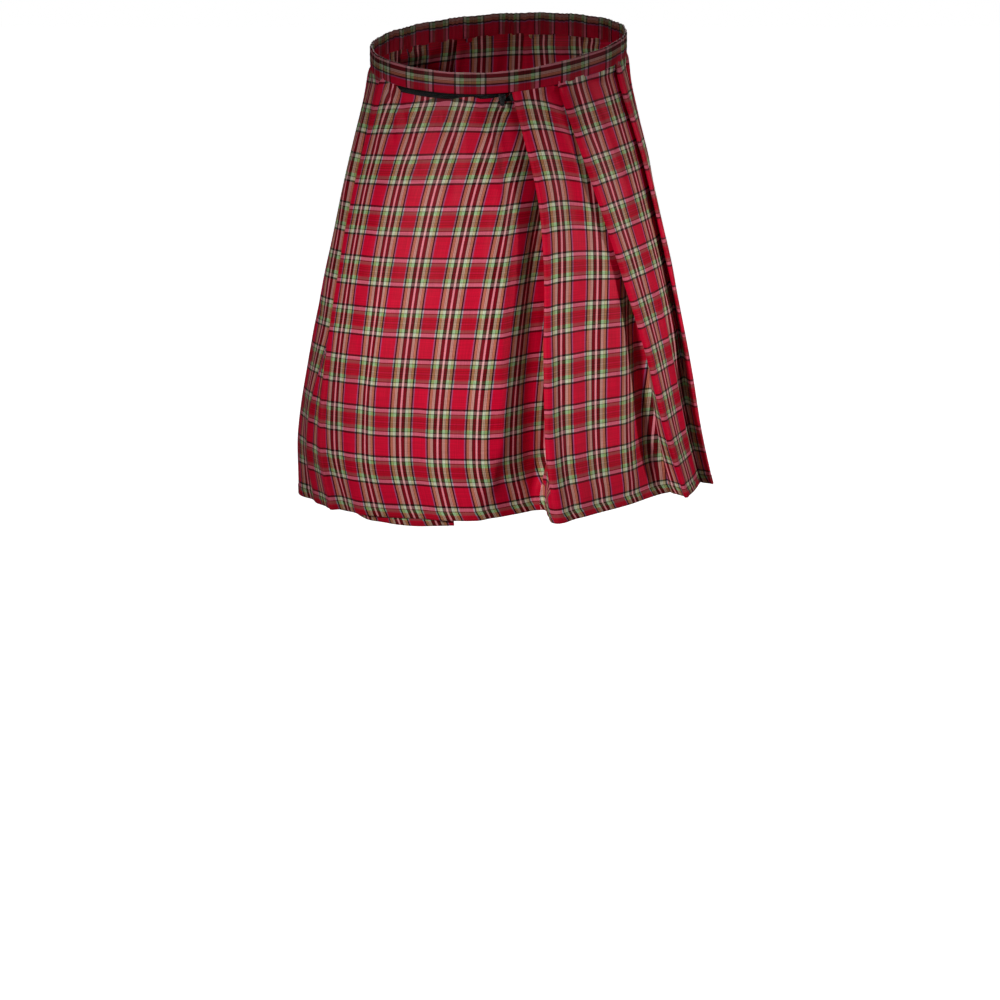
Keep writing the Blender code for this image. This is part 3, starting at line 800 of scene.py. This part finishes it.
def bumped(tree, height, distance, strength=1.0):
    return addNode(tree, "ShaderNodeBump", {
        "Height": height, "Distance": distance, "Strength": strength}).outputs[0]


tartanFinish = {
    "tone": 0.94, "patches": 0.22, "patchScale": 10.0, "roughness": 0.56, "weaveDepth": 0.00012,
    "specular": 0.30, "satin": (1.0, 0.40, 0.44, 1.0), "sheen": 0.02, "sheenTint": (1.0, 0.30, 0.35, 1.0),
}
tapeFinish = {
    "colour": (0.005, 0.0065, 0.006), "ribs": (0.0011, 0.6), "patches": (60.0, 0.6), "depth": 0.00012,
}
nylonFinish = {"colour": (0.009, 0.010, 0.010), "patches": (140.0, 0.7), "depth": 0.00004}
threadFinish = {
    "colour": (0.22, 0.004, 0.012), "ribs": (0.0006, 0.8), "patches": (70.0, 0.5), "depth": 0.00005,
}
metalFinish = {
    "fine": (900.0, 1.6), "broad": (190.0, 1.4), "wornFrom": 1.22, "wornTo": 1.52,
    "paint": (0.006, 0.006, 0.007, 1.0), "zinc": (0.24, 0.25, 0.26, 1.0), "depth": -0.00003,
}


def tartanMaterial():
    material, tree, shader = newMaterial("tartanCloth")
    weave = placeGroup(tree, tartanWeave, {"Vector": clothPlace(tree)})
    patches = patchesOn(tree, tartanFinish["patchScale"], tartanFinish["patches"])
    # painted shade: this attribute darkens the waistband's cloth, most at its top
    handled = addNode(tree, "ShaderNodeAttribute", attribute_name="handled").outputs["Fac"]
    darkened = maths(tree, "MULTIPLY_ADD", handled, -1.0, tartanFinish["tone"])
    fill(tree, shader, {
        "Base Color": scaled(tree, weave["Color"], maths(tree, "MULTIPLY", patches, darkened)),
        "Roughness": maths(tree, "MULTIPLY", patches, tartanFinish["roughness"]),
        "Normal": bumped(tree, weave["Height"], tartanFinish["weaveDepth"], 0.6),
        "Specular IOR Level": tartanFinish["specular"], "Specular Tint": tartanFinish["satin"],
        "Sheen Weight": tartanFinish["sheen"], "Sheen Roughness": 0.4,
        "Sheen Tint": tartanFinish["sheenTint"]})
    return material


def tapeMaterial():
    material, tree, shader = newMaterial("blackTape")
    ribs = ribsOn(tree, clothPlace(tree), *tapeFinish["ribs"])
    patches = patchesOn(tree, *tapeFinish["patches"])
    lighter = maths(tree, "MULTIPLY", patches, maths(tree, "MULTIPLY_ADD", ribs, 0.25, 1.0))
    fill(tree, shader, {
        "Base Color": scaled(tree, tapeFinish["colour"], lighter), "Specular IOR Level": 0.22,
        "Roughness": maths(tree, "MULTIPLY", patches, 0.48),
        "Normal": bumped(tree, ribs, tapeFinish["depth"])})
    return material


def nylonMaterial():
    material, tree, shader = newMaterial("blackNylon")
    patches = patchesOn(tree, *nylonFinish["patches"])
    fill(tree, shader, {
        "Base Color": scaled(tree, nylonFinish["colour"], patches),
        "Roughness": maths(tree, "MULTIPLY", patches, 0.34),
        "Normal": bumped(tree, patches, nylonFinish["depth"])})
    return material


def threadMaterial():
    material, tree, shader = newMaterial("redThread")
    place = addNode(tree, "ShaderNodeTexCoord").outputs["Object"]
    ribs, patches = ribsOn(tree, place, *threadFinish["ribs"]), patchesOn(tree, *threadFinish["patches"])
    tone = maths(tree, "MULTIPLY", patches, maths(tree, "MULTIPLY_ADD", ribs, 0.15, 1.0))
    fill(tree, shader, {
        "Base Color": scaled(tree, threadFinish["colour"], tone), "Roughness": 0.6,
        "Normal": bumped(tree, ribs, threadFinish["depth"])})
    return material


def metalMaterial():
    # black paint over zinc, rubbed through in small scuffs
    material, tree, shader = newMaterial("blackZipMetal")
    fine, broad = patchesOn(tree, *metalFinish["fine"]), patchesOn(tree, *metalFinish["broad"])
    worn = addNode(tree, "ShaderNodeMapRange", {
        "Value": maths(tree, "MULTIPLY", fine, broad), "From Min": metalFinish["wornFrom"],
        "From Max": metalFinish["wornTo"]}).outputs[0]
    mixed = addNode(tree, "ShaderNodeMix", {
        "Factor": worn, 6: metalFinish["paint"], 7: metalFinish["zinc"]}, data_type="RGBA")
    fill(tree, shader, {
        "Base Color": mixed.outputs[2], "Metallic": maths(tree, "MULTIPLY_ADD", worn, 0.75, 0.2),
        "Roughness": maths(tree, "MULTIPLY", fine, 0.34), "Normal": bumped(tree, worn, metalFinish["depth"])})
    return material


tartanCloth, blackTape, blackNylon = tartanMaterial(), tapeMaterial(), nylonMaterial()
redThread, zipMetal = threadMaterial(), metalMaterial()
print("materials ready")

# The skirt: one stretch of cloth from each pleat's outer fold, where the middle of a wide red stripe
# lies, to the next. twist is how far the turned-up hem is pulled sideways at its start and end, gathered
# is how full the waist seam is, and freeEdge which side has a turned edge of its own.
skirt = {
    "default": {"twist": (0.004, 0.004), "gathered": 1.0, "creases": (), "freeEdge": None},
    "apron": {
        "twist": (0.0015, 0.0045), "gathered": 0.35, "creases": (
            (284, 150, 322, 540, 17, -5.0, 4),    # hollow beside the front pleat, and the ridge before it
            (214, 120, 252, 560, 9, 2.2, 2),
            (180, 14, 222, 120, 10, -3.2, 3),
            (6, 350, 12, 570, 8, -4.0, -3),       # below the tuck, where it opens
            (38, 330, 52, 585, 15, 2.6, 4),
            (13, 2, 52, 62, 3.6, -1.4, 3),        # gathered from the corner of the zip
            (15, 2, 30, 84, 4.2, 1.5, 2),
            (11, 3, 8, 70, 4.0, -1.5, -2),
            (40, 8, 86, 84, 6.5, -2.4, 5),
            (62, 6, 98, 120, 6.0, 1.7, -4),
            (126, 24, 158, 132, 7.5, -2.2, 4),
            (104, 12, 126, 76, 5.0, 1.2, 2),
            (146, 5, 192, 15, 2.6, 0.9, -2),      # drawn across from the end of the zip
            (160, 12, 200, 32, 3.4, -1.0, 2),
            (196, 26, 172, 96, 5.0, 1.3, -3),
            (118, 190, 96, 420, 20, 2.0, -8),     # broad and shallow, down the apron
            (150, 360, 140, 585, 15, -2.2, 5),
            (84, 240, 66, 560, 14, -1.8, -5),
            (60, 130, 40, 300, 10, 1.4, 4),
        ),
    },
    "apron_side": {
        "freeEdge": -1, "gathered": 1.3, "creases": (
            (-6, 60, -12, 430, 15, -8.0, 4),      # hollow behind the tuck
            (6, 395, -8, 585, 8, 3.0, -3),
            (-22, 12, -30, 190, 6, 1.8, 3),
            (-34, 300, -30, 580, 12, -3.2, -5),
            (-60, 10, -62, 260, 9, -2.2, 5),
            (-84, 60, -92, 380, 11, 2.4, -6),
            (-108, 20, -104, 210, 8, -1.8, 3),
            (-70, 330, -82, 585, 13, 2.6, 6),
        ),
    },
    "pleat_front": {
        "twist": (0.007, 0.006), "gathered": 0.9, "creases": (
            (32, 24, 50, 190, 8.5, -2.8, 4),      # soft fold slanting down from the seam
            (12, 3, 24, 52, 4.0, 1.4, 2),
            (52, 6, 66, 92, 6.0, 1.6, 3),
            (20, 60, 26, 200, 6.0, 1.2, -2),
            (146, 270, 190, 584, 25, -8.5, 4),    # hollow beside the side pleat, and the swell before it
            (92, 170, 116, 584, 30, 8.0, 4),
            (40, 300, 50, 570, 15, 2.0, 6),
            (24, 330, 28, 575, 9, -1.6, 4),
            (104, 300, 112, 560, 12, -1.8, -6),
            (90, 120, 118, 280, 9, 1.6, 4),
        ),
    },
    "pleat_side_front": {
        "gathered": 0.8, "creases": (
            (3, 3, 8, 74, 4.0, 1.4, 2),
            (16, 2, 22, 90, 5.0, -1.6, 2),
            (46, 1, 68, 22, 3.0, -1.2, 1),
            (40, 20, 50, 190, 7.0, 1.5, 4),
            (30, 250, 40, 540, 10, -1.8, 5),
            (66, 330, 78, 585, 11, -3.2, 3),
        ),
    },
    "pleat_side": {"creases": (
        (20, 4, 26, 160, 6, 1.6, 3), (44, 2, 52, 120, 7, -1.8, 4), (36, 240, 44, 570, 11, 2.4, -5),
        (72, 180, 80, 560, 13, -2.8, 6))},
    "pleat_back_1": {"creases": (
        (16, 3, 18, 130, 6, -1.5, 2), (40, 4, 50, 210, 8, 1.9, -4), (30, 260, 26, 575, 12, -2.4, 5),
        (78, 190, 90, 560, 14, 2.3, 6))},
    "pleat_back_2": {"creases": (
        (22, 2, 30, 150, 6, 1.7, 3), (56, 5, 52, 260, 9, -2.1, -5), (44, 300, 58, 580, 12, 2.6, 4),
        (100, 240, 108, 570, 15, -3.0, -6))},
    "pleat_back_3": {"creases": (
        (12, 3, 20, 110, 5, -1.6, 2), (46, 6, 40, 190, 8, 2.0, 4), (70, 220, 76, 575, 15, -2.7, 6),
        (120, 330, 112, 580, 12, 2.2, -4), (30, 350, 34, 570, 10, 1.7, 3))},
    "pleat_back_4": {"creases": (
        (24, 4, 18, 170, 7, 1.8, -3), (58, 2, 66, 130, 6, -1.6, 2), (40, 230, 48, 560, 13, -2.3, -5),
        (96, 200, 102, 575, 14, 2.6, 5))},
    "pleat_back_5": {"creases": (
        (18, 3, 26, 140, 6, -1.7, 3), (50, 8, 44, 300, 10, 2.0, -4), (80, 260, 92, 580, 14, -2.6, 6))},
    "under_apron": {"gathered": 0.4, "freeEdge": 0, "creases": (
        (40, 60, 46, 560, 14, 2.0, 6), (120, 90, 108, 580, 16, -2.4, -7), (200, 40, 214, 560, 15, 2.2, 6))},
}
under = {"reachesUp": 0.007, "leansIn": 0.0036, "leanDown": 0.035}
seam = {"reachesUp": 0.0032, "within": 0.002, "outerDepth": 0.0016, "pressed": 0.9, "pressedDown": 0.008,
        "joinFade": 0.016}


def pieceOf(name):
    return {**skirt["default"], **skirt.get(name, {})}


def clothCoordsOf(grid, piece):
    last = grid.along[-1]
    share = (last - last.min()) / (last.max() - last.min())
    near, far = piece["twist"]
    turn = limited(1.0 - grid.rise / cloth["hemTurn"]) * (near + (far - near) * share)[None, :]
    return np.dstack([grid.along + 0.5 * warpRepeat - turn, grid.rise])


def insideRing(plan):
    # how far each point lies inside the waist ring, and which way is straight out
    left, right, front, back = reachAt(0.0)
    half, middle = (left + right) / 2, (right - left) / 2
    x, y = plan[:, 0] - middle, plan[:, 1]
    depth = np.where(y < 0, front, back)
    reach = np.hypot(x / half, y / depth)
    out = np.stack([x / half**2, y / depth**2, np.zeros(len(x))], axis=1)
    return (1.0 - reach) * np.hypot(x, y), out / np.linalg.norm(out, axis=1, keepdims=True)


def besideZip(angle):
    return ease((pocketZip["start"] - 1.0 - angle) / 3.0) + ease((angle - 9.0) / 6.0)


def joinFade(grid, name):
    # no lift where one stretch is joined to the next
    first, last = grid.along[:, :1], grid.along[:, -1:]
    fade = np.ones(grid.along.shape)
    if name != "under_apron":
        fade *= limited((first - grid.along) / seam["joinFade"])
    if name != "apron_side":
        fade *= limited((grid.along - last) / seam["joinFade"])
    return fade * fade * (3.0 - 2.0 * fade)


def puffAt(angle):
    return besideZip(angle) * (0.55 + 0.2 * sin(angle / 4.3) + 0.15 * sin(angle / 1.9 + 1.0))


def stretchLines():
    chain = backPleatChain() + list(reversed(sidePleats)) + [frontPleat]
    lines = {"under_apron": underLine, chain[0].name: lambda drop: firstPleatLine(chain[0], drop)}
    for before, p in zip(chain, chain[1:]):
        lines[p.name] = lambda drop, a=before, b=p: pleatLine(a, b, drop)
    return {**lines, "apron": apronLine, "apron_side": apronSideLine}


def pressTop(grid):
    # every layer comes together in the band, and the outer one rolls over its seam
    inside, out = insideRing(grid.points[0])
    sewn = atAngles(besideZip, grid.angles)[None, :]
    outer = limited(1.0 - inside / seam["outerDepth"])[None, :]
    puff = atAngles(puffAt, grid.angles)[None, :]
    rollLift, rollHeight = rollTop(grid, puff * outer)
    shift = rollLift + inside * sewn * seam["pressed"] * np.exp(-(grid.down / seam["pressedDown"]) ** 2)
    inBand = limited(1.0 - grid.down / seam["within"])
    grid.points = grid.points + shift[:, :, None] * out
    grid.points[:, :, 2] += rollHeight + seam["reachesUp"] * np.maximum(outer, sewn) * inBand


def makeStretch(number, name, lineAt):
    piece = pieceOf(name)
    isUnder = name == "under_apron"
    grid = clothGrid(lineAt, underHang if isUnder else None, zipNotch if name == "apron" else None)
    coords = clothCoordsOf(grid, piece)
    lift = addCreases(grid, piece["creases"])
    lift += gathers(grid, piece["gathered"], number)
    soft = roughness(grid, number * 3.7, 11.0, 5.5) + 0.5 * roughness(grid, number * 3.7 + 9.0, 26.0, 12.0)
    lift += 0.0017 * soft * np.clip(grid.down / 0.05, 0.2, 1.0)
    lift += hemRopes(grid, number)
    lift *= joinFade(grid, name)
    normals = outward(grid.points)
    if isUnder:
        nearTop = limited(1.0 - grid.down / under["leanDown"]) ** 2
        insets = atAngles(lambda angle: underInset(angle % 360.0, 0.0), grid.angles)[None, :]
        lift += (insets - under["leansIn"]) * nearTop
        grid.points[:, :, 2] += under["reachesUp"] * nearTop
    else:
        pressTop(grid)
    grid.points = grid.points + normals * lift[:, :, None]
    grid.normals = outward(grid.points)
    grid.edge = np.zeros(grid.along.shape)
    if piece["freeEdge"] is not None:
        away = np.abs(grid.along - grid.along[:, [piece["freeEdge"]]])
        grid.edge = limited((cloth["edgeTurn"] - away) / 0.0015 + 0.5)
    obj = shellMesh(name + "_cloth", grid, coords)
    obj.data.materials.append(tartanCloth)
    return obj, grid


def markHandled(obj, low, high, start, end):
    # painted shade: the band's cloth is darkened towards its top, standing in for shade falling from above
    heights = np.array([v.co.z - seamHeight(v.co.x, v.co.y) for v in obj.data.vertices])
    share = limited((heights - start) / (end - start))
    layer = obj.data.attributes.new("handled", "FLOAT", "POINT")
    layer.data.foreach_set("value", (low + (high - low) * share).astype(np.float32))


def finishCloth(obj, node, width, height, area=None, held="gathered", rests=("waistband_front",)):
    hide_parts(node)
    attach(obj, "kilt")


grids = {}
for number, (name, lineAt) in enumerate(stretchLines().items()):
    obj, grids[name] = makeStretch(number, name, lineAt)
    waistWidth, hemWidth = (float(np.ptp(grids[name].along[row])) for row in (4, -1))
    finishCloth(obj, name, max(waistWidth, hemWidth), 0.60, 0.30 * (waistWidth + hemWidth),
                rests=("waistband_front", "waistband_back"))
    print("made", name, len(obj.data.polygons), "faces", round(waistWidth, 3), round(hemWidth, 3), "m")


# the waistband: a folded strip cut with its warp along it, plain in front and gathered on elastic behind
band = {
    "thickness": 0.0026, "height": 0.030, "frontLoss": 0.003, "sideSeams": (-62.0, 66.0), "step": 0.45,
    "pinkAt": 0.0262, "paceAlong": 0.970, "midAt": 0.0340, "faceRows": 9, "roundSteps": 5,
    # the pair after seamPinch is the painted shade at the band's foot and at its top
    "wave": 0.0007, "seamPinch": 3.0, "handled": (0.22, 0.44), "waver": 0.0004, "pillow": 0.00035,
    "pinched": 0.72, "roundArc": 0.001,
}
elastic = {
    "fullness": 1.35, "depth": 0.00078, "channels": (0.22, 0.5, 0.78), "channelWidth": 0.07, "heldDown": 0.75,
    "lifts": 0.35,
}


def bandRidges(arc):
    # uneven folds of cloth pulled up on elastic
    return uneven(arc, 0.00125, 1.5, 0.0061, 0.7, 0.013) + 0.45 * uneven(arc, 0.0029, 1.2, 0.021)


def bandSection():
    # height share and outward share (of half the thickness) round the folded strip
    rows, steps = band["faceRows"], band["roundSteps"]
    radius = band["thickness"] / 2 / band["height"]
    outer = [(radius + (1.0 - 2 * radius) * i / (rows - 1), 1.0) for i in range(rows)]
    top = [(1.0 - radius + radius * sin(pi * i / steps), cos(pi * i / steps)) for i in range(1, steps)]
    inner = [(share, -1.0) for share, _ in reversed(outer)]
    bottom = [(radius - radius * sin(pi * i / steps), -cos(pi * i / steps)) for i in range(1, steps)]
    return outer + top + inner + bottom


def bandPiece(name, start, end, gathered):
    section, half = bandSection(), band["thickness"] / 2
    arc, loops, coords = 0.0, [], []
    count = ceil((end - start) / band["step"])
    before = None
    for i in range(count + 1):
        angle = start + (end - start) * i / count
        place = ring(angle, 0.0)
        if before:
            arc += hypot(place[0] - before[0], place[1] - before[1])
        before = place
        pinch = ease(min(angle - start, end - angle) / band["seamPinch"])
        ridge = float(bandRidges(arc)) * elastic["depth"] * pinch if gathered else 0.0
        wave = band["wave"] * sin(angle / 5.3) * sin(angle / 13.0 + 1.0)
        loop, row, length = [], [], band["roundArc"] - band["pinkAt"]
        height = band["height"] - band["frontLoss"] * frontShare(angle)
        height += band["waver"] * sin(angle / 3.1) + elastic["lifts"] * ridge
        for k, (share, side) in enumerate(section):
            held = sum(exp(-((share - c) / elastic["channelWidth"]) ** 2) for c in elastic["channels"])
            pillow = band["pillow"] * sin(pi * share) * (0.4 + 0.6 * pinch)
            out = wave + ridge * (1.0 - elastic["heldDown"] * min(held, 1.0)) * ease(share * 6.0)
            out += side * (half * (band["pinched"] + (1.0 - band["pinched"]) * pinch) + pillow)
            loop.append((*ring(angle, 0.0, out), seamHeight(*place) + height * share))
            if k:
                length += hypot(height * (share - section[k - 1][0]), half * (side - section[k - 1][1]))
            row.append((length, arc))
        row.append((length + band["roundArc"], arc))
        loops.append(loop)
        coords.append(row)
    loops, coords = np.array(loops), np.array(coords)
    middle = np.interp(0.0, [start, end], [coords[0, 0, 1], coords[-1, 0, 1]])
    pace = elastic["fullness"] if gathered else band["paceAlong"]
    coords[:, :, 1] = (coords[:, :, 1] - middle) * pace + band["midAt"]
    return closedStrip(name, loops, coords), float(arc)


def closedStrip(name, loops, coords):
    # loops of points joined end to end, with capped ends; coords has one more column than the loops
    count, around = loops.shape[:2]
    index = np.arange(count * around).reshape(count, around)
    wrapped = np.concatenate([index, index[:, :1]], axis=1)
    faces, corners = (np.stack([grid[:-1, :-1], grid[1:, :-1], grid[1:, 1:], grid[:-1, 1:]], axis=2)
                      for grid in (wrapped, coords))
    faces, corners, vertices = faces.reshape(-1, 4), corners.reshape(-1, 4, 2), loops.reshape(-1, 3)
    caps, capCorners = [], []
    for end, flip in ((0, False), (count - 1, True)):
        for k in range(around // 2 - 1):
            quad = [k, k + 1, around - 2 - k, around - 1 - k]
            quad = quad[::-1] if flip else quad
            caps.append(index[end, quad])
            capCorners.append(coords[end, quad])
    faces, corners = np.concatenate([faces, caps]), np.concatenate([corners, capCorners])
    a, b, c, d = (vertices[faces[:, k]] for k in range(4))
    if (a * np.cross(b, c)).sum() + (a * np.cross(c, d)).sum() < 0:      # inside out
        faces, corners = faces[:, ::-1], corners[:, ::-1]
    return addMesh(name, vertices, faces, corners)


leftSeam, rightSeam = band["sideSeams"]
for name, (start, end), gathered in (("waistband_front", (leftSeam, rightSeam), False),
                                     ("waistband_back", (rightSeam, 360 + leftSeam), True)):
    obj, arc = bandPiece(name + "_cloth", start, end, gathered)
    # painted shade on the band, deepest at its top
    markHandled(obj, *band["handled"], 0.0, band["height"])
    obj.data.materials.append(tartanCloth)
    width = arc * (elastic["fullness"] if gathered else 1.0)
    finishCloth(obj, name, width, band["height"], held="gathered" if gathered else "stretched", rests=())
    print("made", name, len(obj.data.polygons), "faces", round(width, 3), "m")


# the closed pocket zip: its tape and its coil
tape = {"rows": 13, "step": 0.5}
coil = {
    "pitch": 0.0012, "tooth": (0.00042, 0.00055, 0.0019), "lean": 0.16, "waver": 0.05, "in": 0.0012,
    "out": 0.0009, "end": 1.0, "points": 120, "seed": 5,
}


def tapePoint(angle, height, offset=0.0):
    # sewn to the band at its top and to the apron below
    share = ease((pocketZip["tapeMeets"] - height) / pocketZip["tapeTurn"])
    x, y = ring(angle, 0.0, apronLift(angle, 0.0) * share - pocketZip["tapeOffset"] + offset)
    return x, y, seamHeight(*ring(angle, 0.0)) + height


def makeTape():
    start, end = pocketZip["start"] - pocketZip["tapePast"], pocketZip["end"] + pocketZip["tapePast"]
    count = ceil((end - start) / tape["step"])
    heights = np.linspace(pocketZip["tapeAbove"], -pocketZip["tapeBelow"], tape["rows"])
    points, coords, arc = [], [], 0.0
    for i in range(count + 1):
        points.append([tapePoint(end + (start - end) * i / count, height) for height in heights])
        if i:
            (ax, ay, _), (bx, by, _) = points[-2][-1], points[-1][-1]
            arc += hypot(bx - ax, by - ay)
        coords.append([(arc, height) for height in heights])
    points = np.array(points).transpose(1, 0, 2)
    grid = SimpleNamespace(points=points, normals=outward(points), rise=np.full(points.shape[:2], 1.0),
                           edge=np.zeros(points.shape[:2]))
    obj = shellMesh("zip_tape_cloth", grid, np.array(coords).transpose(1, 0, 2))
    obj.data.materials.append(blackTape)
    return obj, arc


def pathTree():
    # small solids set along every strand of a path
    tree, given, result = newGroup("alongPath", [
        ("Geometry", "Geometry", None), ("Pitch", "Float", 0.004),
        ("Size", "Vector", (0.001, 0.0003, 0.0003)), ("Lean", "Float", 0.0), ("Waver", "Float", 0.05),
        ("Seed", "Int", 1), ("Material", "Material", None)],
        [("Geometry", "Geometry")], "GeometryNodeTree")

    def made(kind, inputs=None, **settings):
        return addNode(tree, kind, inputs, **settings).outputs[0]

    curve = made("GeometryNodeMeshToCurve", {"Mesh": given["Geometry"]})
    spaced = made("GeometryNodeResampleCurve", {"Curve": curve, "Length": given["Pitch"]}, mode="LENGTH")
    ball = made("GeometryNodeMeshUVSphere", {"Segments": 8, "Rings": 6, "Radius": 1.0})
    solid = made("GeometryNodeTransform", {"Geometry": ball, "Scale": given["Size"]})
    tangent = made("GeometryNodeInputTangent")
    aligned = made("FunctionNodeAlignRotationToVector", {"Vector": tangent}, axis="X")
    chance = addNode(tree, "FunctionNodeRandomValue", {
        2: maths(tree, "SUBTRACT", 0.0, given["Waver"]), 3: given["Waver"], "Seed": given["Seed"]},
        data_type="FLOAT")
    turn = made("ShaderNodeCombineXYZ", {"Y": maths(tree, "ADD", given["Lean"], chance.outputs[1])})
    turned = made("FunctionNodeRotateRotation", {
        "Rotation": aligned, "Rotate By": made("FunctionNodeEulerToRotation", {"Euler": turn})},
        rotation_space="LOCAL")
    many = made("GeometryNodeInstanceOnPoints", {"Points": spaced, "Instance": solid, "Rotation": turned})
    real = made("GeometryNodeRealizeInstances", {"Geometry": many})
    painted = made("GeometryNodeSetMaterial", {"Geometry": real, "Material": given["Material"]})
    tree.links.new(painted, result["Geometry"])
    return tree


alongPath = pathTree()


def setAlong(name, strands, slot, **values):
    vertices, edges = [], []
    for strand in strands:
        edges += [(len(vertices) + k, len(vertices) + k + 1) for k in range(len(strand) - 1)]
        vertices += [tuple(map(float, point)) for point in strand]
    mesh = bpy.data.meshes.new(name + "_path")
    mesh.from_pydata(vertices, edges, [])
    path = addObject(name + "_path", mesh)
    modifier = path.modifiers.new("alongPath", "NODES")
    modifier.node_group = alongPath
    for item in alongPath.interface.items_tree:
        if item.in_out == "INPUT" and item.name in values:
            modifier[item.identifier] = values[item.name]
    made = bpy.data.meshes.new_from_object(path.evaluated_get(bpy.context.evaluated_depsgraph_get()))
    bpy.data.objects.remove(path)
    made.name = name
    made.shade_smooth()
    obj = addObject(name, made)
    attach(obj, "kilt")
    print("made", name, len(made.polygons), "faces")
    return obj


tapeCloth, tapeArc = makeTape()
finishCloth(tapeCloth, "zip_tape", tapeArc, pocketZip["tapeAbove"] + pocketZip["tapeBelow"], held="stretched",
            rests=("apron",))
coilAngles = np.linspace(pocketZip["start"], coil["end"], coil["points"])
for side, lean in ((1, coil["lean"]), (-1, -coil["lean"])):
    off, out = side * coil["in"], coil["out"]
    strand = [tapePoint(angle, -0.5 * zipNotch(angle) + off, out) for angle in coilAngles]
    setAlong("zip_coil_upper" if side > 0 else "zip_coil_lower", [strand], "zip_tape", Pitch=coil["pitch"],
             Size=coil["tooth"], Lean=lean, Waver=coil["waver"], Seed=coil["seed"], Material=blackNylon)

# stitches: the hem all round and the two free edges
stitch = {
    "pitch": 0.0036, "size": (0.00135, 0.00022, 0.00022), "up": 0.0118, "waver": 0.06, "off": 0.0001,
    "fromEdge": 0.0085, "seed": 11,
}


def overCloth(grid, rows, columns):
    off = cloth["hemThickness"] / 2 + stitch["off"]
    return grid.points[rows, columns] + grid.normals[rows, columns] * off


def alongHem(grid):
    return overCloth(grid, int(np.argmin(np.abs(grid.rise[:, 0] - stitch["up"]))), slice(None))


def alongEdge(grid, column):
    away = np.abs(grid.along - grid.along[:, [column]])
    places = np.argmin(np.abs(away - stitch["fromEdge"]), axis=1)
    return overCloth(grid, np.arange(len(places)), places)


hemStrands = [alongHem(grid) for grid in grids.values()]
hemStrands += [alongEdge(grids[name], pieceOf(name)["freeEdge"]) for name in ("apron_side", "under_apron")]
setAlong("hem_stitches", hemStrands, "tartan_cloth", Pitch=stitch["pitch"], Size=stitch["size"], Lean=0.0,
         Waver=stitch["waver"], Seed=stitch["seed"], Material=redThread)

for name in ("zip_slider", "pull_tab"):
    part = bpy.data.objects[name]
    part.data.materials.clear()
    part.data.materials.append(zipMetal)

visualBox = [list(corner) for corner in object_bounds()]
